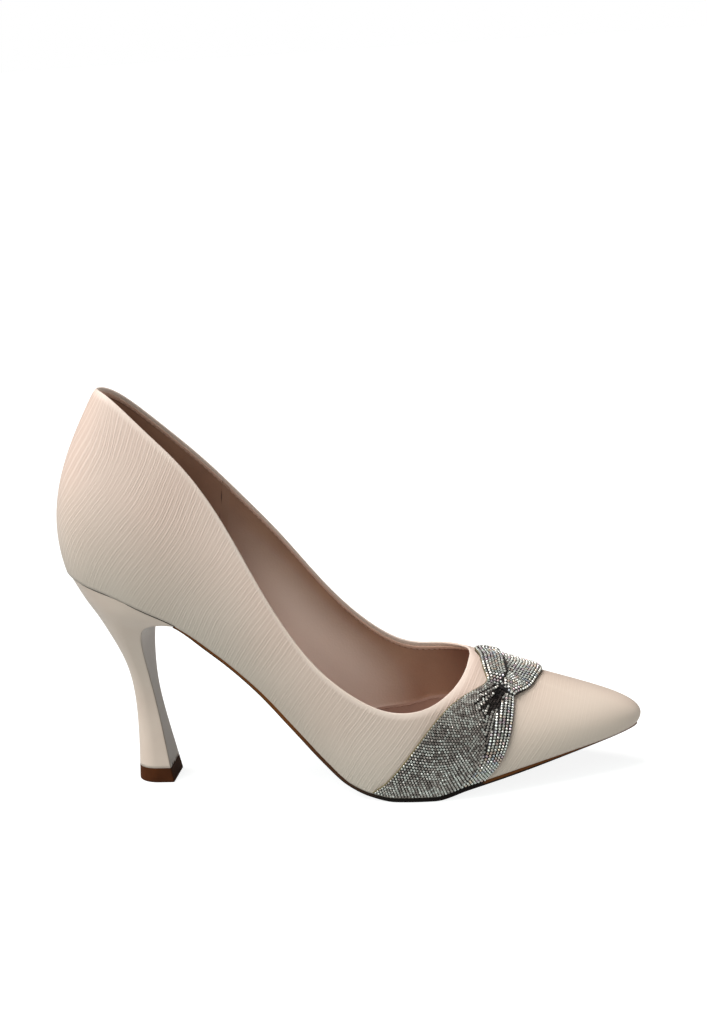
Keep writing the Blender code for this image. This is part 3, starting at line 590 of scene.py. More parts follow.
# Embossed lines at places on the upper: their tilt (mm along for each mm up) and their pitch in mm
GrainRow = namedtuple("GrainRow", "along height tilt pitch")
GRAIN = [GrainRow(*row) for row in (
    (5, 130, 0.10, 4.65), (5, 148, 0.30, 4.65), (16, 96, 0.45, 1.77), (16, 116, 1.00, 1.77),
    (23, 97, 0.76, 1.77), (23, 110, 1.15, 1.77), (23, 121, 1.50, 1.77), (23, 133, 0.82, 2.23),
    (22, 144, 0.33, 3.16), (30, 91, 1.05, 1.77), (31, 104, 1.12, 1.77), (31, 117, 1.36, 1.77),
    (31, 129, 0.93, 1.77), (31, 141, 0.35, 1.86), (37, 112, 1.20, 1.77), (37, 126, 0.88, 1.77),
    (38, 138, 0.36, 1.77), (42, 88, 0.93, 1.77), (43, 105, 0.89, 1.77), (44, 125, 0.65, 1.77),
    (48, 102, 0.59, 1.77), (55, 96, 0.64, 1.77), (55, 107, 0.24, 1.77), (56, 117, 0.20, 1.77),
    (60, 73, 0.36, 1.77), (60, 85, 1.00, 1.77), (61, 101, 0.43, 1.77), (65, 67, 0.35, 1.77),
    (65, 79, 0.92, 1.77), (67, 90, 1.26, 1.77), (71, 73, 0.90, 1.77), (72, 85, 1.27, 1.77),
    (78, 62, 0.90, 1.77), (78, 76, 1.08, 1.77), (84, 58, 1.18, 1.77), (90, 54, 1.25, 1.77),
    (90, 68, 1.12, 1.77), (96, 52, 1.10, 1.67), (101, 38, 0.65, 1.49), (107, 30, 0.44, 1.49),
    (107, 41, 0.70, 1.49), (113, 24, 0.41, 1.49), (113, 36, 0.55, 1.49), (120, 31, 0.69, 1.49),
    (125, 25, 1.00, 1.49), (155, 25, 0.60, 1.58), (185, 19, 0.85, 1.49), (185, 28, 0.46, 1.49),
    (197, 33, 0.17, 1.40), (212, 27, 0.08, 1.30), (226, 24, 0.05, 1.30),
)]
GRAIN_REACH = 6.0       # mm over which one row's tilt passes into the next
CHART_LOW, CHART_HIGH = (-34, -14), (246, 182)  # mm along and up
HEEL_TURN = 30.0        # mm from the back where the lines begin to wrap round the heel
HEEL_RADIUS = 26.0


def mirrored(field, first_sign, second_sign):
    """A field with its mirror images beyond both far edges, each kept or turned in sign."""
    beside = np.concatenate([field, second_sign * field[:, ::-1]], axis=1)
    return np.concatenate([beside, first_sign * beside[::-1]])


def grain_chart():
    """Cycles of the embossed lines on a flat chart of 1 mm cells. Angles and pitches are the rows' means with
    weights 1 / (distance2 + reach2)2. The slopes square to the lines are summed to one surface by least
    squares, which in the spectrum of the mirrored chart is -i (k . slopes) / k2."""
    along, height = (np.arange(low, high, dtype=float) for low, high in zip(CHART_LOW, CHART_HIGH))
    rows = np.array(GRAIN)
    apart = (along[:, None, None] - rows[:, 0]) ** 2 + (height[:, None] - rows[:, 1]) ** 2
    weight = (apart + GRAIN_REACH ** 2) ** -2
    weight = weight / weight.sum(axis=2, keepdims=True)
    angle, pitch = weight @ np.arctan(rows[:, 2]), weight @ rows[:, 3]
    slope_along = np.fft.fft2(mirrored(np.cos(angle) / pitch, -1, 1))
    slope_up = np.fft.fft2(mirrored(-np.sin(angle) / pitch, 1, -1))
    k_along = 2 * math.pi * np.fft.fftfreq(2 * len(along))[:, None]
    k_up = 2 * math.pi * np.fft.fftfreq(2 * len(height))
    square = k_along ** 2 + k_up ** 2
    square[0, 0] = 1.0
    cycles = np.fft.ifft2(-1j * (k_along * slope_along + k_up * slope_up) / square).real
    return cycles[:len(along), :len(height)]


def grain_phase(points):
    """Cycles of the embossed lines at points: the chart read linearly between its cells. Round the heel the
    length along is an angle times a radius."""
    x, y, z = points[..., 0], points[..., 1], points[..., 2]
    turn = np.arctan2(np.abs(y), np.maximum(HEEL_TURN - x, 1e-6))
    along = np.where(x < HEEL_TURN, HEEL_TURN - HEEL_RADIUS * (math.pi / 2 - turn), x)
    chart = grain_chart()
    i, j = (np.clip(np.floor(value - low).astype(int), 0, size - 2)
            for value, low, size in zip((along, z), CHART_LOW, chart.shape))
    s, t = along - CHART_LOW[0] - i, z - CHART_LOW[1] - j
    return ((1 - s) * ((1 - t) * chart[i, j] + t * chart[i, j + 1])
            + s * ((1 - t) * chart[i + 1, j] + t * chart[i + 1, j + 1]))


TOP_ROLL, ROLL_REACH = 0.55, 3.6        # mm inwards at the topline, and from how far under it


def wall_loop(columns, low_share, top_share, outer, inner, outer_rows, inner_rows, cap_rows):
    """A wall's cross section as a closed loop for each column: up the outer face, over a half round top edge
    and down the inner face. outer and inner are depths under the skin. The top rolls inwards as a square."""
    around = np.arange(columns) * SECTIONS / columns
    up = np.linspace(0, 1, outer_rows)
    down = np.linspace(1, 0, inner_rows)
    turn = np.linspace(0, math.pi, cap_rows + 2)[1:-1]
    climb = np.concatenate([up, np.ones(cap_rows), down])
    radius = (inner - outer) / 2
    depth = np.concatenate([np.full(outer_rows, outer), outer + radius * (1 - np.cos(turn)),
                            np.full(inner_rows, inner)])
    lift = np.concatenate([np.zeros(outer_rows), radius * np.sin(turn), np.zeros(inner_rows)])
    share = low_share(around)[:, None] + climb * (top_share(around) - low_share(around))[:, None]
    flat_around = np.repeat(around, len(climb))
    points, normal, rising = skin_frame(flat_around, share.ravel())
    to_top = (1 - share.ravel()) * np.linalg.norm(rising, axis=1)
    roll = TOP_ROLL * np.clip(1 - to_top / ROLL_REACH, 0, 1) ** 2
    depth, lift = (np.tile(depth, columns) + roll)[:, None], np.tile(lift, columns)[:, None]
    return points - normal * depth + unit(rising) * lift, flat_around, share.ravel()


def share_of(length_mm, at_top):
    """The share that a length in millimetres takes at the topline or at the feather edge."""
    def measured(around):
        rising = skin_frame(around, np.full(len(around), 1.0 if at_top else 0.0))[2]
        return length_mm / np.linalg.norm(rising, axis=1)
    return measured


# Share of the outsole's edge that shows as rubber, along the shoe in mm; the leather laps over the rest
RUBBER_EDGE = [(47, 0.95), (60, 0.68), (79, 0.6), (91, 0.35), (103, 0.42), (124, 0.9), (135, 1.0), (180, 1.0),
               (191, 0.82), (203, 0.55), (215, 0.27), (226, 0.15)]
# Share of brown in the edge's upper half; the rest of the edge is painted nearly black as shadow
BROWN_EDGE = [(47, 1.0), (88, 1.0), (102, 0.4), (128, 0.0), (165, 0.0), (166, 1.0), (226, 1.0)]
FORE = (150, 185)       # mm along over which the sides' painted grey shade gives way to a yellower tone painted at the toe as the light's colour there
# Where the emboss is pressed less deep: mm along, mm up and mm under the topline
SMOOTH_TIP, SMOOTH_VAMP, SMOOTH_VAMP_HEIGHT, SMOOTH_FOLD = (188, 222), (150, 175), (6, 30), (0.5, 3.5)
EMBOSS_LEFT = (0.3, 0.45, 0.35)         # share of its depth left at the tip, on the vamp and at the fold
LAP_START = (BREAST - 2, BREAST + 1)    # mm along over which the lap comes in
SLIT = 0.02             # mm left open between pieces that meet
LEATHER_COLUMNS, LEATHER_ROWS = 780, (60, 20, 7)
LINING_COLUMNS, LINING_ROWS = 600, (8, 48, 4)


def make_leather():
    """The outer leather: the skin, its edge turned over at the topline, and its hidden back. It laps over the
    outsole's edge, and stops a thin line short of the heel."""
    foot, head = share_of(1.0, False), share_of(LEATHER / 2, True)

    def low_share(around):
        along = closed_curve(feather_rows(), around)[0][:, 0]
        lap = GAP - SLIT + SOLE * (1 - np.interp(along, *zip(*RUBBER_EDGE)))
        steep = np.hypot(1, bottom_height(along)[1])
        return -foot(around) * lap * steep * step_up(along, *LAP_START)

    points, around, share = wall_loop(LEATHER_COLUMNS, low_share, lambda a: 1 - head(a), 0.0, LEATHER,
                                      *LEATHER_ROWS)
    cells = quads(LEATHER_COLUMNS, sum(LEATHER_ROWS), True, True)
    off_tip = 1 - step_up(points[:, 0], *SMOOTH_TIP)
    off_vamp = 1 - step_up(points[:, 2], *SMOOTH_VAMP_HEIGHT) * step_up(points[:, 0], *SMOOTH_VAMP)
    tall = np.linalg.norm(skin_frame(around, share)[2], axis=1)
    to_top = (1 - share) * tall
    clear = (off_tip, off_vamp, step_up(to_top, *SMOOTH_FOLD))
    emboss = math.prod(left + (1 - left) * off for left, off in zip(EMBOSS_LEFT, clear))
    fore = step_up(points[:, 0], *FORE)
    # painted light and shade: greyer to the sole, yellower at the toe, paler at the topline
    piece = add_piece("upper_leather", points, cells, leather, "upper", grain=grain_phase(points),
                      emboss=emboss, toe=fore, to_top=to_top, to_sole=share * tall + LOW_SHADE_REACH * fore)
    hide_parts("upper")


# The facing's upper edge, mm along and up, how far it stands proud, and how far its step slopes each way
FACING_EDGE = [(92, 15.0), (105, 16.5), (119, 17.0), (129, 17.2), (135.5, 18.2), (140, 19.6), (147, 20.3),
               (170, 21.0)]
FACING_STEP, FACING_SLOPE = 0.4, 0.3
FAR = 9.0               # mm, more than any line on the lining reaches
COLLAR_SHADOW_AT = 1.7       # mm under the lining's edge, where a dark line is painted as the collar's shadow
# The lining's middle, painted pale as a patch of light falling in: mm along where it comes and goes, and the
# shares of height where it goes; then the throat, painted dark as its shade, mm along
LIT_PATCH_COMES, LIT_PATCH_GOES, LIT_PATCH_HEIGHT, THROAT = (48, 92), (108, 138), (0.42, 0.92), (134, 158)
LINING_SEAM = (60.7, 101.2, 0.167)      # mm along, the height there and mm along for each mm up


def make_lining():
    """The lining: the inner part of the wall, trimmed a little under the topline. A facing low on its sides
    stands a step proud."""
    head = share_of(LINING_DROP, True)
    points, around, share = wall_loop(LINING_COLUMNS, lambda a: np.zeros(len(a)), lambda a: 1 - head(a),
                                      LEATHER + SLIT, WALL, *LINING_ROWS)
    _, normal, rising = skin_frame(around, share)
    collar = (1 - share) * np.linalg.norm(rising, axis=1) - LINING_DROP
    facing = np.interp(points[:, 0], *zip(*FACING_EDGE)) - points[:, 2]
    facing = np.where(points[:, 0] < FACING_EDGE[0][0], -FAR, facing)
    inside = np.tile(np.arange(sum(LINING_ROWS)) >= LINING_ROWS[0] + LINING_ROWS[2], LINING_COLUMNS)
    points = points - normal * (FACING_STEP * step_up(facing, -FACING_SLOPE, FACING_SLOPE) * inside)[:, None]
    seam = points[:, 0] - LINING_SEAM[0] - LINING_SEAM[2] * (points[:, 2] - LINING_SEAM[1])
    join = np.where(seam < 0, FAR, seam)
    middle = step_up(points[:, 0], *LIT_PATCH_COMES) * (1 - step_up(points[:, 0], *LIT_PATCH_GOES))
    # painted light and shade: the pale middle, the dark throat and the dark line under the collar
    add_piece("lining", points, quads(LINING_COLUMNS, sum(LINING_ROWS), True, True), lining_skin, "insole",
              collar=collar, fold=np.abs(collar - COLLAR_SHADOW_AT), facing=facing, seam=np.abs(seam), join=join,
              rub=middle * (1 - step_up(share, *LIT_PATCH_HEIGHT)), deep=step_up(points[:, 0], *THROAT))


COLLAR_SEWN, FACING_SEWN = 0.9, 1.1     # mm from an edge to its stitches
STITCH_PITCH, STITCH_SIDES = 2.5, 6
# A stitch's rings, in mm: half as wide at its ends
STITCH_RADII = 0.17 * np.array([0.5, 1.0, 1.0, 0.5])
STITCH_PLACES = 1.6 * np.array([-0.5, -0.3, 0.3, 0.5])


def make_stitches(name, around, share, depth):
    """A row of stitches along a line on the inner wall: one each pitch, half sunk in it."""
    path, normal, _ = skin_frame(around, share)
    path = path - normal * depth
    reach = length_along(path)
    at = np.arange(STITCH_PITCH / 2, reach[-1], STITCH_PITCH)
    place, out, onward = (np.stack([np.interp(at, reach, column) for column in values.T], axis=-1)
                          for values in (path, -normal, np.gradient(path, axis=0)))
    out = unit(out)
    along = square_to(out, onward)
    add_many(name, turned_shape(STITCH_SIDES, STITCH_RADII, STITCH_PLACES), place,
             (np.cross(out, along), out, along), lining_thread, "insole")


def sew_lining():
    """Stitches under the collar's edge all round, and along the facing's upper edge on both sides."""
    around = np.linspace(0, SECTIONS, 900)
    drop = share_of(LINING_DROP + COLLAR_SEWN, True)(around)
    make_stitches("collar_stitches", around, 1 - drop, WALL)
    shares = np.linspace(0.02, 0.98, 120)
    for name, ends in (("lateral_facing_stitches", (6.6, 10.6)), ("medial_facing_stitches", (19.4, 23.4))):
        around = np.linspace(*ends, 160)
        wall = skin_frame(np.repeat(around, len(shares)), np.tile(shares, len(around)))[0]
        wall = wall.reshape(len(around), len(shares), 3)
        under = wall[..., 2] + FACING_SEWN - np.interp(wall[..., 0], *zip(*FACING_EDGE))
        make_stitches(name, around, shares[np.abs(under).argmin(axis=1)], WALL + FACING_STEP)


make_leather()
make_lining()
sew_lining()


# Soles


def feather_outline(inset, per_section=12):
    """The feather edge seen from above, moved inwards."""
    around = np.arange(SECTIONS * per_section) / per_section
    feather, slope = closed_curve(feather_rows(), around)
    return feather[:, :2] - inset * outward(slope)[:, :2]


def outline_edges(outline, x):
    """Lateral and medial edges of an outline at x."""
    toe = len(outline) // 2
    lateral, medial = outline[:toe + 1], np.concatenate([outline[:1], outline[:toe - 1:-1]])
    return np.interp(x, lateral[:, 0], lateral[:, 1]), np.interp(x, medial[:, 0], medial[:, 1])


def slab_ring(low, high, low_round, high_round):
    """Section of a sole as a ring, lower side lateral to medial and home along the upper side. Each point has
    its place across (0 lateral, 1 medial edge), its inset from that edge and its height. Corners are quarter
    rounds: inset r(1 - cos), rise r(1 - sin)."""
    turn = np.linspace(0, math.pi / 2, 5)
    flat = np.linspace(0, 1, 23)[1:-1]
    middle = (low + high) / 2

    def half(face, radius):
        side = np.linspace(middle, face + math.copysign(radius, middle - face), 5)[1:-1]
        rise = face + math.copysign(1, middle - face) * radius * (1 - np.sin(turn))
        across = np.concatenate([np.zeros(len(side) + len(turn)), flat, np.ones(len(side) + len(turn))])
        inset = np.concatenate([side * 0, radius * (1 - np.cos(turn))])
        inset = np.concatenate([inset, np.full(len(flat), radius), inset[::-1]])
        height = np.concatenate([side, rise, np.full(len(flat), face), rise[::-1], side[::-1]])
        return across, inset, height

    lower, upper = half(low, low_round), half(high, high_round)
    return tuple(np.concatenate([a, b[::-1]]) for a, b in zip(lower, upper))


SLAB_END = 0.03         # mm left off at an outline's ends, where its two edges meet
NARROW_INSET = 0.45     # the most that a corner takes of a sole's width


def slab(outline, back_end, ring, stations):
    """A sole: its section stretched between the outline's edges at stations that crowd towards both ends as a
    cosine, and bent to the bottom line. Points run ring by station."""
    back, tip = max(back_end, outline[:, 0].min() + SLAB_END), outline[:, 0].max() - SLAB_END
    x = back + (tip - back) * (1 - np.cos(np.linspace(0, math.pi, stations))) / 2
    lateral, medial = outline_edges(outline, x)
    across, inset, height = (values[:, None] for values in ring)
    inset = np.minimum(inset, NARROW_INSET * (medial - lateral))
    y = (lateral + inset) * (1 - across) + (medial - inset) * across
    return on_bottom(np.broadcast_to(x, y.shape), y, np.broadcast_to(height, y.shape))


SOLE_STATIONS = 220
TOE_INSET, TOE_INSET_REACH = 1.0, (160, 220)    # mm that the outsole stands in more at the toe, and mm along
SOLE_SKIVE = (1.15, 13.0)       # mm that the outsole thins by at its rear end, and over what length
SOLE_ROUND, SOCK_ROUND = (0.5, 0.15), (0.3, 1.0)        # mm, lower and upper edges


def make_outsole():
    """Heel breast to toe, its lower edge rounded more than its upper one, and skived thin at its rear end."""
    ring = slab_ring(0.0, SOLE, *SOLE_ROUND)
    toe_inset = TOE_INSET * step_up(feather_outline(0.0)[:, :1], *TOE_INSET_REACH)
    points = slab(feather_outline(SOLE_INSET + toe_inset), BREAST + SLAB_END, ring, SOLE_STATIONS)
    height = np.broadcast_to(ring[2][:, None] / SOLE, points.shape[:2])
    skived = SOLE_SKIVE[0] * (1 - step_up(points[..., 0], BREAST, BREAST + SOLE_SKIVE[1]))
    points[..., 2] += skived * (1 - height)
    piece = add_loft("outsole_rubber", points, sole_rubber, "outsole",
                     rise=height / np.interp(points[..., 0], *zip(*RUBBER_EDGE)),
                     brown=np.interp(points[..., 0], *zip(*BROWN_EDGE)))
    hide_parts("outsole")


def make_sock():
    """The sock on the insole, with a soft upper edge."""
    ring = slab_ring(SOLE + GAP, SOLE + GAP + INSOLE, *SOCK_ROUND)
    points = slab(feather_outline(WALL + GAP / 2), 0.0, ring, SOLE_STATIONS)
    piece = add_loft("sock_lining", points, sock_leather, "insole")
    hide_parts("insole")


make_outsole()
make_sock()


# The heel

HEEL_LEVELS = 72
BREAST_FILLET = 0.55
CREASE_AT, CREASE_FROM = 10, 14         # ring point of the joint on the breast's corner, and its first level
CREASE_SHADE = 0.75
LIFT_EDGE, LIFT_BEVEL = 0.45, 0.12
SEAM_END, SEAM_PROUD, SEAM_RADIUS = 3.88, 0.19, 0.23    # sections each way from the back, then mm
SEAM_CLOSED, SEAM_SUNK = (27.0, 4.0), 0.7       # mm along where the seam shuts, over what length and how deep


def heel_sections(rows):
    """Heel sections as rings: flat breast, filleted corners, straight sides and a half ellipse for the back,
    lateral half first; each lies in a plane that rises from the breast to the back. rows are arrays of
    HeelRow values. Also gives the share of the half width that each point of the breast lies out at."""
    back, back_height, breast, breast_height, half = np.asarray(rows, float).T
    radius = ROUND_SHARE * (breast - back)
    face = ((np.arange(8) + 0.5) / 8)[:, None]
    bend = np.linspace(0, math.pi / 2, 6)[:, None]
    side = np.linspace(0, 1, 12)[1:-1, None]
    turn = (np.linspace(0, math.pi / 2, 29, endpoint=False))[:, None]
    fillet = BREAST_FILLET
    x = np.concatenate([breast + 0 * face, breast - fillet * (1 - np.cos(bend)),
                        (breast - fillet) * (1 - side) + (back + radius) * side,
                        back + radius * (1 - np.sin(turn))])
    y = np.concatenate([(half - fillet) * face, half - fillet * (1 - np.sin(bend)), half + 0 * side,
                        half * np.cos(turn)])
    z = breast_height + (breast - x) / (breast - back) * (back_height - breast_height)
    out = np.concatenate([(y / half)[:len(face) + len(bend)], np.ones((len(side) + len(turn), len(half)))])
    lateral, medial = np.stack([x, -y, z], axis=-1), np.stack([x, y, z], axis=-1)[::-1]
    return np.concatenate([lateral, medial]), np.concatenate([out, out[::-1]])


def seat_ring(lip_share):
    """The seat's edge from the lower (0) to the upper edge (1) of its lip: it follows the feather edge, moved
    inwards most at the back."""
    plain, out = heel_sections([HeelRow(FEATHER[0].along * LENGTH / 100 + SOLE_INSET + HEEL_STEP, 0.0, BREAST,
                                        0.0, 1.0)])
    x, out = plain[:, 0, 0], out[:, 0]
    at_back = 1 - step_up(feather_outline(0.0)[:, :1], 0, HEEL_STEP_REACH)
    lateral, medial = outline_edges(feather_outline(SOLE_INSET + HEEL_STEP * at_back), x)
    y = np.where(np.arange(len(x)) < len(x) // 2, lateral, medial) * out
    return on_bottom(x, y, np.full(len(x), SOLE - LIP * (1 - lip_share)))


def make_heel():
    """Seat to top lift: a lip, then rows joined by a smooth curve; what the seat has beyond a plain section
    fades out as a square over the first rows."""
    seat = seat_ring(0.0)
    middle = len(seat) // 2
    top = HeelRow(seat[middle, 0], seat[middle, 2], seat[0, 0], seat[0, 2], np.abs(seat[:, 1]).max())
    level = np.linspace(0, len(HEEL), HEEL_LEVELS)
    body = heel_sections(open_curve([top, *HEEL], level))[0]
    extra = seat - heel_sections([top])[0][:, 0]
    body = body + extra[:, None] * (np.maximum(0, 1 - level / SEAT_FADE) ** 2)[:, None]
    points = np.concatenate([np.stack([seat_ring(share) for share in (1.0, 0.5)], axis=1), body], axis=1)
    crease = np.zeros(points.shape[:2])
    crease[[CREASE_AT, -1 - CREASE_AT], CREASE_FROM:] = CREASE_SHADE
    piece = add_loft("heel_cover", points, heel_cover, "heel", crease=crease)
    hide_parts("heel")


def make_top_lift():
    """The worn tip: it goes on with the heel's flare and its lower edge is a quarter round."""
    turn = np.linspace(0, math.pi / 2, 6)
    height = np.concatenate([[TOP_LIFT, TOP_LIFT - LIFT_BEVEL], np.linspace(5.5, 0.8, 6),
                             LIFT_EDGE * (1 - np.sin(turn))])
    inset = np.concatenate([[LIFT_BEVEL], np.zeros(7), LIFT_EDGE * (1 - np.cos(turn))])[:, None]
    share = (height / TOP_LIFT)[:, None]
    rows = np.array(HEEL_FOOT) * (1 - share) + np.array(HEEL[-1]) * share
    rows = rows + inset * np.array([1.0, 0.0, -1.0, 0.0, -1.0])
    rows[:, 1] = rows[:, 3] = height
    points = heel_sections(rows)[0]
    piece = add_loft("rubber_top_lift", points, lift_rubber, "top_lift")
    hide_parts("top_lift")


def make_seat_seam():
    """The dark line between the heel's seat and the leather, a thin black cord round the seat's edge: partly
    the joint's own dark line, partly painted shadow under the leather's overhang.
    """
    around = np.linspace(-SEAM_END, SEAM_END, 240)
    feather, slope = closed_curve(feather_rows(), around)
    shut = np.exp(-((feather[:, 0] - SEAM_CLOSED[0]) / SEAM_CLOSED[1]) ** 2)
    at_back = 1 - step_up(feather[:, 0], 0, HEEL_STEP_REACH)
    inset = SOLE_INSET + HEEL_STEP * at_back - SEAM_PROUD + SEAM_SUNK * shut
    x, y = (feather[:, :2] - inset[:, None] * outward(slope)[:, :2]).T
    path = on_bottom(x, y, np.full(len(x), SOLE + GAP / 2))
    add_loft("seat_seam", tube(path, outward(slope), SEAM_RADIUS), seam_rubber, "outsole")


make_heel()
make_top_lift()
make_seat_seam()


# The band of stones

# Gathers that run from the knot into the lateral fan: across at the knot and at their far end, the band row
# where they end and their depth in mm
Gather = namedtuple("Gather", "at_knot at_end end_row depth")
GATHERS = [Gather(*row) for row in (
    (0.28, 0.15, 2.5, 0.55),
    (0.43, 0.34, 2.1, 0.85),
    (0.56, 0.52, 1.9, 1.0),
    (0.68, 0.67, 1.7, 0.95),
)]
GATHER_WIDTH, GATHER_FADE = 0.05, 1.4   # share of the band's width, and the power by which it runs out
GATHER_START = 4.75
HOLLOW = (4.25, 0.61)           # band row and across of the dark hollow under the knot
HOLLOW_LEAN = 0.11              # across for each row that it runs down
HOLLOW_SIZE = (0.72, 0.1)
HOLLOW_DEPTH = 1.7
LOOP_ROLL = 0.12                # share of the band's width over which a loop's edge rolls down
CLOTH_UNDER, KNOT_UNDER = 0.03, 0.5     # mm from the skin to the underside of the cloth and of the knot
LEAST_TOP = 0.25                # mm from the skin to the cloth's upper face at least
STONE_SEAT = STONE_TALL - 0.08  # the cloth lies this far under the band's top


def band_place(row, across):
    """Where on the skin a place of the band lies: row counts BAND rows, across runs rear to front edge."""
    edges = open_curve([entry[1:] for entry in BAND], row)
    around = edges[:, 0] + across * (edges[:, 2] - edges[:, 0])
    share = edges[:, 1] + across * (edges[:, 3] - edges[:, 1])
    return around, share


def near_knot(row):
    """A bell over the rows about the knot."""
    return np.exp(-((row - KNOT_ROW) / PLEAT_REACH) ** 2)


def from_hollow(row, across):
    """Square of the distance from the hollow's leaning axis, in its own sizes."""
    middle = HOLLOW[1] + HOLLOW_LEAN * (HOLLOW[0] - row)
    return ((row - HOLLOW[0]) / HOLLOW_SIZE[0]) ** 2 + ((across - middle) / HOLLOW_SIZE[1]) ** 2


def gather_depth(row, across):
    """Depth of the gathers: bells across, which run out towards their far ends."""
    depth = np.zeros(np.shape(row))
    for gather in GATHERS:
        run = np.clip((GATHER_START - row) / (GATHER_START - gather.end_row), 0, 1)
        place = gather.at_knot + (gather.at_end - gather.at_knot) * run
        bell = np.exp(-((across - place) / GATHER_WIDTH) ** 2)
        depth = depth + gather.depth * (1 - run) ** GATHER_FADE * bell
    return depth


def fan_top(row, across):
    """The fan's cloth over the skin: a sine for the main pleat, another for the narrow one in front of the
    fold, less the fold, the gathers and the hollow, which are bells across."""
    lateral = step_up(row, *PLEAT_START) * (1 - step_up(row, *PLEAT_END))
    main = MAIN_PLEAT * near_knot(row) * np.sin(math.pi * np.clip(across / FOLD, 0, 1))
    side = SIDE_PLEAT * np.sin(math.pi * np.clip((across - FOLD) / (1 - FOLD), 0, 1)) ** SIDE_FULLNESS
    fold = -FOLD_DEPTH * near_knot(row) * np.exp(-((across - FOLD) / FOLD_WIDTH) ** 2)
    total = GAP + BAND_BASE - STONE_SEAT + lateral * (main + side + fold)
    total = total - gather_depth(row, across) - HOLLOW_DEPTH * np.exp(-from_hollow(row, across))
    return np.maximum(total, LEAST_TOP)


def rounded(inside):
    """A loop's edge rolled down to the skin: a quarter sine over a share of the band's width."""
    return np.sin(math.pi / 2 * np.clip(inside / LOOP_ROLL, 0, 1))


def loop_lift(row):
    """How far the loops stand off the skin where they pass over the ridge."""
    return LOOP_LIFT * step_up(row, *LOOP_START) * (1 - step_up(row, *LOOP_LIFT_END))


def front_loop_top(row, across):
    """The front loop's cloth: an arch that sinks away from the knot, lifted off the skin over the ridge."""
    arch = LOOP_ARCH * near_knot(row) * np.sin(math.pi * across)
    return GAP + BAND_BASE - STONE_SEAT + arch + loop_lift(row) * rounded(1 - across)


def rear_loop_top(row, across):
    """The rear loop lies over the front one by a step that is highest near the knot, and leans down to its
    rear edge."""
    step = LOOP_STEP * (LOOP_STEP_LEFT + (1 - LOOP_STEP_LEFT) * near_knot(row)) * step_up(row, *LOOP_START)
    arch = LOOP_ARCH * near_knot(row) * np.sin(math.pi * across)
    risen = np.clip(across / loop_split(row), 0, 1)
    return GAP + BAND_BASE - STONE_SEAT + arch + loop_lift(row) * rounded(across) + step * risen


def loop_split(row):
    """Across of the rear loop's front edge: it draws back between two rows."""
    return LOOP_SPLIT[0] + (LOOP_SPLIT[1] - LOOP_SPLIT[0]) * step_up(row, *LOOP_SPLIT_ROWS)


def knot_edge(across):
    """Band row of the knot's lower edge, which slants across the gathered band."""
    return KNOT_START - KNOT_SLANT * (across - KNOT_REAR)


def wrap_top(row, across):
    """The front loop where it rolls over the gathered band as the knot: sin(pi t^0.6) from the slanted edge
    on, times 1 - u4 across."""
    t = np.clip((row - knot_edge(across)) / KNOT_SPAN, 0, 1)
    middle, half = (KNOT_REAR + 1 + KNOT_OVERHANG) / 2, (1 + KNOT_OVERHANG - KNOT_REAR) / 2
    u = np.clip(np.abs(across - middle) / half, 0, 1)
    roll = KNOT_RISE * np.sin(math.pi * t ** KNOT_LEAN) * (1 - u ** 4)
    return front_loop_top(row, across) + KNOT_EDGE * (t < 1) + roll


def on_band(row, across, top):
    """Points of the band's cloth at arrays of any shape: top gives their height square to the skin."""
    row, across = np.broadcast_arrays(np.asarray(row, float), np.asarray(across, float))
    shape = row.shape
    row, across = row.ravel(), across.ravel()
    points, normal, _ = skin_frame(*band_place(row, across))
    return (points + normal * top(row, across)[:, None]).reshape(*shape, 3)


def make_strip(name, rows, across, top, under, node_name):
    """A strip of cloth: its upper face rear to front, and home along its lower face, carried along the rows.
    rows and across are grids, across by rows."""
    over = on_band(rows, across, top)
    below = on_band(rows, across, lambda r, a: np.full(r.size, under))
    points = np.concatenate([over, below[::-1]])
    piece = add_loft(name, points, mesh_cloth, "crystal")
    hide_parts(node_name)


FAN_CLOTH, LOOP_CLOTH = (0.02, 5.1), (4.9, BAND_END - 0.02)     # band rows
CLOTH_EDGE, LOOP_UNDER = 0.004, 0.02    # across left bare at each edge, and taken under the rear loop


def make_backings():
    """The fan, the two loops and the knot, each with its own grid of rows and places across."""
    fan_rows, loop_rows = np.linspace(*FAN_CLOTH, 170), np.linspace(*LOOP_CLOTH, 190)
    low, high = CLOTH_EDGE, 1 - CLOTH_EDGE
    full, part = np.linspace(low, high, 90)[:, None], np.linspace(0, 1, 30)[:, None]
    split = loop_split(loop_rows)
    under = split - LOOP_UNDER
    rear, front = low + (split - low) * part, under + (high - under) * part
    make_strip("fan_backing", fan_rows, full, fan_top, CLOTH_UNDER, "crystal_band")
    make_strip("rear_loop_backing", loop_rows, rear, rear_loop_top, CLOTH_UNDER, "crystal_band")
    make_strip("front_loop_backing", loop_rows, front, front_loop_top, CLOTH_UNDER, "crystal_band")
    across = np.linspace(KNOT_REAR, 1 + KNOT_OVERHANG, 40)[:, None]
    knot_rows = knot_edge(across) + KNOT_SPAN * np.linspace(0.0, 0.99, 40)
    make_strip("knot_backing", knot_rows, across, wrap_top, KNOT_UNDER, "knot")


make_backings()


# The stones

STONE_SIDES, STONE_LINES = 8, 40
# A stone's rings, in mm: the sunk culet, the girdle and the table
STONE_RADII = STONE_WIDTH * np.array([0.42, 0.5, 0.29])
STONE_HEIGHTS = np.array([-0.12, 0.14, STONE_TALL])
STONE_TILT = 0.07       # spread of each stone's lean, as a slope
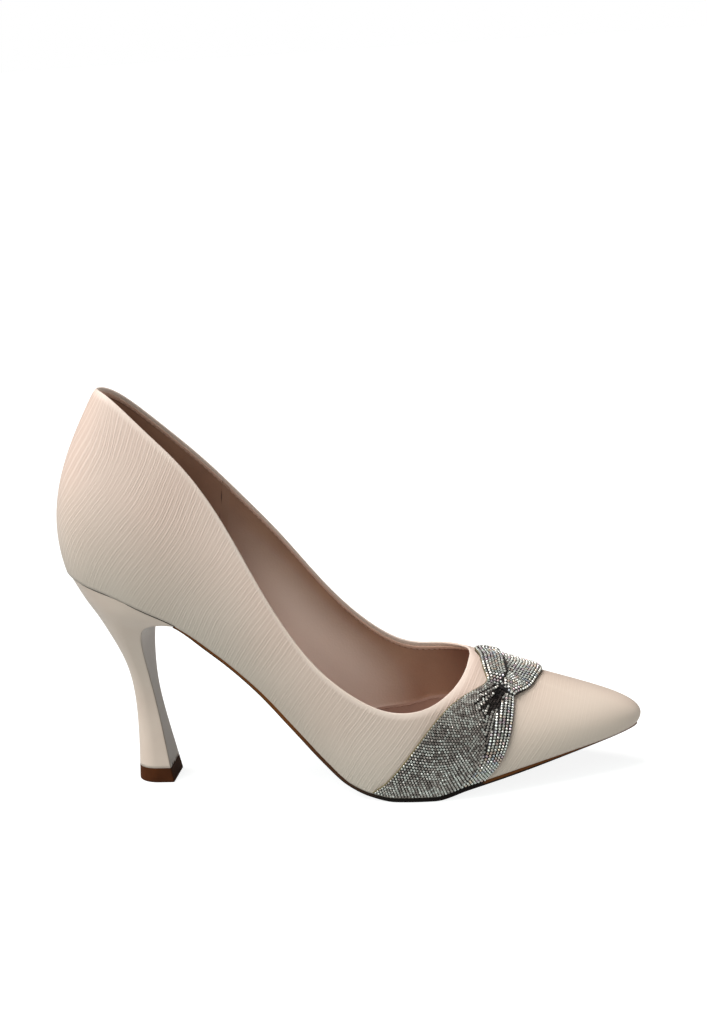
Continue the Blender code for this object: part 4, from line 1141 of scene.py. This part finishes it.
# Tints between which the stones of the wide pleat, of the hollow and of the other folds are drawn; the wide
# pleat's dimmer tints and the hollow's dark ones are painted shade
DIM_STONES, SHADED_STONES, CLEAR_STONES = (0.24, 0.83), (0.0, 0.1), (0.7, 1.0)
HOLLOW_BARE, HOLLOW_SHADE = 0.5, 1.8    # up to where the hollow has no stones, and shaded ones
DEEP_GATHER = 0.3       # mm of a gather's depth from which its stones lie in shade
CREASE_MARGIN = 0.2 * STONE_PITCH
EDGE_ROW = 0.42         # pitches from an edge to the first line of stones
MAIN_CREASE, MAIN_CREASE_ROWS = 0.36, (1.4, 4.8)        # across that the main crease moves, and band rows
# Band rows of the fields of stones, the fan's end behind the knot, and rows bare at the knot's lower edge
FAN_FIELD, REAR_LOOP_FIELD, FRONT_LOOP_FIELD = (0.04, 4.98), (5.0, 11.95), (4.3, 11.95)
FAN_REAR_END, BARE_UNDER, BARE_OVER = 4.92, 0.02, 0.03


def stone_stations(rows, reference, top):
    """Band rows one pitch apart along the line across = reference."""
    fine = np.linspace(*rows, 800)
    line = on_band(fine, reference, top)
    length = length_along(line)
    return np.interp(np.arange(STONE_PITCH / 2, length[-1], STONE_PITCH), length, fine)


def width_at(row, top):
    """Length of the band's cloth from its rear to its front edge at each row, in mm."""
    line = on_band(row[:, None], np.linspace(0, 1, 33)[None, :], top)
    return np.linalg.norm(np.diff(line, axis=1), axis=2).sum(axis=1)


def main_crease(row):
    """Across of the crease where the main pleat's stone rows run out: at the fold by the sole, at the
    rear third by the knot."""
    return FOLD - MAIN_CREASE * step_up(row, *MAIN_CREASE_ROWS)


def stone_rows(rows, reference, top, origin, way, keep):
    """A lattice of stones: stations one pitch apart along the band, and lines one pitch apart from the line
    across = origin, forwards (way 1) or rearwards (-1). keep(row, across, margin) says where they stay."""
    row = stone_stations(rows, reference, top)
    width = width_at(row, top)[:, None]
    offset = (np.arange(STONE_LINES) + EDGE_ROW) * STONE_PITCH
    across = origin + way * offset / width
    row = np.broadcast_to(row[:, None], across.shape)
    kept = keep(row, across, CREASE_MARGIN / width) & (across > 0) & (across < 1)
    return row[kept], across[kept]


def set_stones(name, groups, top, tints):
    """Stones on the cloth: each stands square to it, turned and tilted a little at random, with its own tint
    between two ends of the scale for each group."""
    row, across = (np.concatenate(values) for values in zip(*groups))
    reach_row, reach_across = 0.03, 0.02
    origin = on_band(row, across, top)
    forward = on_band(row, across + reach_across, top) - on_band(row, across - reach_across, top)
    onward = on_band(row + reach_row, across, top) - on_band(row - reach_row, across, top)
    normal = unit(unit(np.cross(forward, onward)) + random.normal(0, STONE_TILT, (len(row), 3)))
    turn = random.uniform(0, math.pi / 4, (len(row), 1))
    first = square_to(normal, onward)
    second = np.cross(normal, first)
    first, second = first * np.cos(turn) + second * np.sin(turn), second * np.cos(turn) - first * np.sin(turn)
    shape = turned_shape(STONE_SIDES, STONE_RADII, STONE_HEIGHTS, 0.5)
    ends = np.concatenate([np.full((len(group[0]), 2), pair) for group, pair in zip(groups, tints)])
    tint = np.repeat(random.uniform(ends[:, 0], ends[:, 1]), shape[..., 0].size)
    add_many(name, shape, origin, (first, second, normal), stones, "crystal", smooth=False, tint=tint)


def dress_band():
    """Stone rows follow each fold's own edge: the main pleat's its rear edge, the folds in front of it the
    fold line, the narrow pleat its front edge, and each loop its outer edge. The front loop's rows run on
    over the knot."""
    def below_knot(row, across):
        clear = row < np.where(across < KNOT_REAR, FAN_REAR_END, knot_edge(across) - BARE_UNDER)
        return clear & ((from_hollow(row, across) > HOLLOW_BARE) | (row < HOLLOW[0]))

    main = stone_rows(FAN_FIELD, 0.2, fan_top, 0.0, 1,
                      lambda r, a, m: (a < main_crease(r)) & below_knot(r, a))
    middle = stone_rows(FAN_FIELD, 0.55, fan_top, FOLD, -1,
                        lambda r, a, m: (a > main_crease(r) + m) & below_knot(r, a))
    narrow = stone_rows(FAN_FIELD, 0.87, fan_top, 1.0, -1, lambda r, a, m: (a > FOLD) & below_knot(r, a))
    folds = [np.concatenate(values) for values in zip(main, middle)]
    deep = (from_hollow(*folds) < HOLLOW_SHADE) | (gather_depth(*folds) > DEEP_GATHER)
    shaded, lit = ([values[chosen] for values in folds] for chosen in (deep, ~deep))
    # painted shade: the wide pleat's stones are dimmer, those of the hollow and deep gathers dark
    set_stones("fan_stones", [lit, shaded, narrow], fan_top, [DIM_STONES, SHADED_STONES, CLEAR_STONES])
    rear = stone_rows(REAR_LOOP_FIELD, 0.2, rear_loop_top, 0.0, 1, lambda r, a, m: a < loop_split(r) - m)
    set_stones("rear_loop_stones", [rear], rear_loop_top, [CLEAR_STONES])
    row, across = stone_rows(FRONT_LOOP_FIELD, 0.8, wrap_top, 1.0, -1,
                             lambda r, a, m: (a > loop_split(r) + m) & (r > knot_edge(a) + BARE_OVER))
    on_knot = row < knot_edge(across) + KNOT_SPAN
    set_stones("front_loop_stones", [(row[~on_knot], across[~on_knot])], front_loop_top, [CLEAR_STONES])
    set_stones("knot_stones", [(row[on_knot], across[on_knot])], wrap_top, [CLEAR_STONES])


dress_band()


FAN_BORDER, LOOP_BORDER = 0.38, 0.22    # mm, radius
BORDER_SUNK, BORDER_STEPS = 0.1, 200    # mm under the cloth's upper face, and rings along a border
BORDER_END = BAND_END - 0.03


def make_border(name, rows, across, top, material, radius):
    """The cloth's folded edge, a thin round border laid along one line of the band."""
    row = np.linspace(*rows, BORDER_STEPS)
    place = across(row) if callable(across) else across
    path = on_band(row, place, lambda r, a: top(r, a) - BORDER_SUNK)
    add_loft(name, tube(path, on_band(row, place, top) - path, radius), material, "crystal")


make_border("fan_rear_border", (0.03, 4.95), 0.0, fan_top, border_cloth, FAN_BORDER)
make_border("fan_front_border", (0.03, 4.4), 1.0, fan_top, mesh_cloth, LOOP_BORDER)
make_border("rear_loop_border", (5.0, BORDER_END), 0.0, rear_loop_top, border_cloth, LOOP_BORDER)
make_border("loop_split_border", (5.2, BORDER_END), loop_split, rear_loop_top, mesh_cloth, LOOP_BORDER)
make_border("front_loop_border", (4.9, BORDER_END), 1.0, front_loop_top, mesh_cloth, LOOP_BORDER)


# Camera, light and floor

PHOTO_LONG_SIDE = 1024          # pixels
FOCAL_LENGTH = 2062             # in the photograph's pixels
SENSOR = 36.0
CAMERA_AZIMUTH, CAMERA_ELEVATION, CAMERA_ROLL = -82.0, 13.0, -3.8
CAMERA_DISTANCE = 800.0
CAMERA_TARGET = (118.2, 0.0, 106.6)


def set_up(name, data, azimuth, elevation, roll=0.0, target=(0.0, 0.0, 0.0), distance=0.0):
    """A camera or a light that looks at a target from a distance in mm. Azimuth is degrees from +X towards
    +Y, and the roll is about its own axis."""
    azimuth, elevation, roll = map(math.radians, (azimuth, elevation, roll))
    back = np.array([math.cos(azimuth) * math.cos(elevation), math.sin(azimuth) * math.cos(elevation),
                     math.sin(elevation)])
    level = np.array([-math.sin(azimuth), math.cos(azimuth), 0.0])
    upright = np.cross(back, level)
    right = math.cos(roll) * level + math.sin(roll) * upright
    up = math.cos(roll) * upright - math.sin(roll) * level
    place = np.eye(4)
    place[:3] = np.stack([right, up, back, to_frame(np.array(target) + back * distance)], axis=1)
    made = bpy.data.objects.new(name, data)
    made.matrix_world = place.T.tolist()
    bpy.context.scene.collection.objects.link(made)
    return made


def add_camera():
    """The photograph's camera."""
    lens = bpy.data.cameras.new("camera")
    lens.sensor_width, lens.lens = SENSOR, FOCAL_LENGTH * SENSOR / PHOTO_LONG_SIDE
    lens.clip_start, lens.clip_end = 0.05, 50.0
    bpy.context.scene.camera = set_up("camera", lens, CAMERA_AZIMUTH, CAMERA_ELEVATION, CAMERA_ROLL,
                                      CAMERA_TARGET, CAMERA_DISTANCE)


FLOOR_RADIUS, FLOOR_SIDES = 40000.0, 96         # mm
FLOOR_GLOW, FLOOR_GLARE = 0.16, 0.72    # light from the paper itself, and what only the eye sees of it


def paper_material():
    """Matt white paper lit through from below: even and pale, with a faint fibre and soft shadows."""
    material, add, shader = new_material("matt_paper")
    fibre, = noises(add, 3.0, 1.5)
    rough = add("MapRange", {"Value": fibre, "To Min": 0.85, "To Max": 0.95})
    seen = add("LightPath", {}, "Is Camera Ray")
    glow = add("Math", {0: seen, 1: FLOOR_GLARE, 2: FLOOR_GLOW}, operation="MULTIPLY_ADD")
    add(shader, {"Base Color": linear("#9aa0a0"), "Roughness": rough, "Specular IOR Level": 0.1,
                 "Emission Color": linear("#ffffff"), "Emission Strength": glow})
    return material


def add_floor():
    """A wide level disc: rings about the shoe whose radius grows as a power."""
    radius = FLOOR_RADIUS * np.linspace(0.01, 1, 24) ** 3
    turn = 2 * math.pi * np.arange(FLOOR_SIDES)[:, None] / FLOOR_SIDES
    points = np.stack([radius * np.cos(turn), radius * np.sin(turn), 0 * radius * turn], axis=-1)
    cells = np.concatenate([quads(*points.shape[:2], first_closed=True)[:, ::-1],
                            ladder(np.arange(FLOOR_SIDES) * len(radius))])
    mesh = bpy.data.meshes.new("studio_floor")
    mesh.from_pydata((points.reshape(-1, 3) * MM).tolist(), [], cells.tolist())
    mesh.materials.append(paper_material())
    floor = bpy.data.objects.new("studio_floor", mesh)
    bpy.context.scene.collection.objects.link(floor)


def add_sun(name, azimuth, elevation, spread, strength, colour):
    """A wide soft light from far off; angles are in degrees."""
    lamp = bpy.data.lights.new(name, "SUN")
    lamp.angle, lamp.energy, lamp.color = math.radians(spread), strength, linear(colour)[:3]
    set_up(name, lamp, azimuth, elevation)


def add_world(fill):
    """White behind the shoe, and a weaker fill light from all round."""
    world = bpy.data.worlds.new("studio")
    world.use_nodes = True
    tree = world.node_tree
    white = linear("#ffffff")
    backdrop = node(tree, "Background", {"Color": white, "Strength": 1.0})
    light = node(tree, tree.nodes["Background"], {"Color": white, "Strength": fill})
    seen = node(tree, "LightPath", {}, "Is Camera Ray")
    mixed = node(tree, "MixShader", {0: seen, 1: light, 2: backdrop})
    tree.links.new(mixed, tree.nodes["World Output"].inputs["Surface"])
    bpy.context.scene.world = world


add_camera()
add_floor()
add_sun("side_light", 192.0, 64.0, 50.0, 3.6, "#fff5f3")
add_sun("front_light", 240.0, 30.0, 50.0, 1.15, "#f2fbf6")
add_sun("toe_light", 5.0, 10.0, 45.0, 0.85, "#fff4ec")
add_world(0.02)
bpy.context.scene.view_settings.view_transform = "Standard"
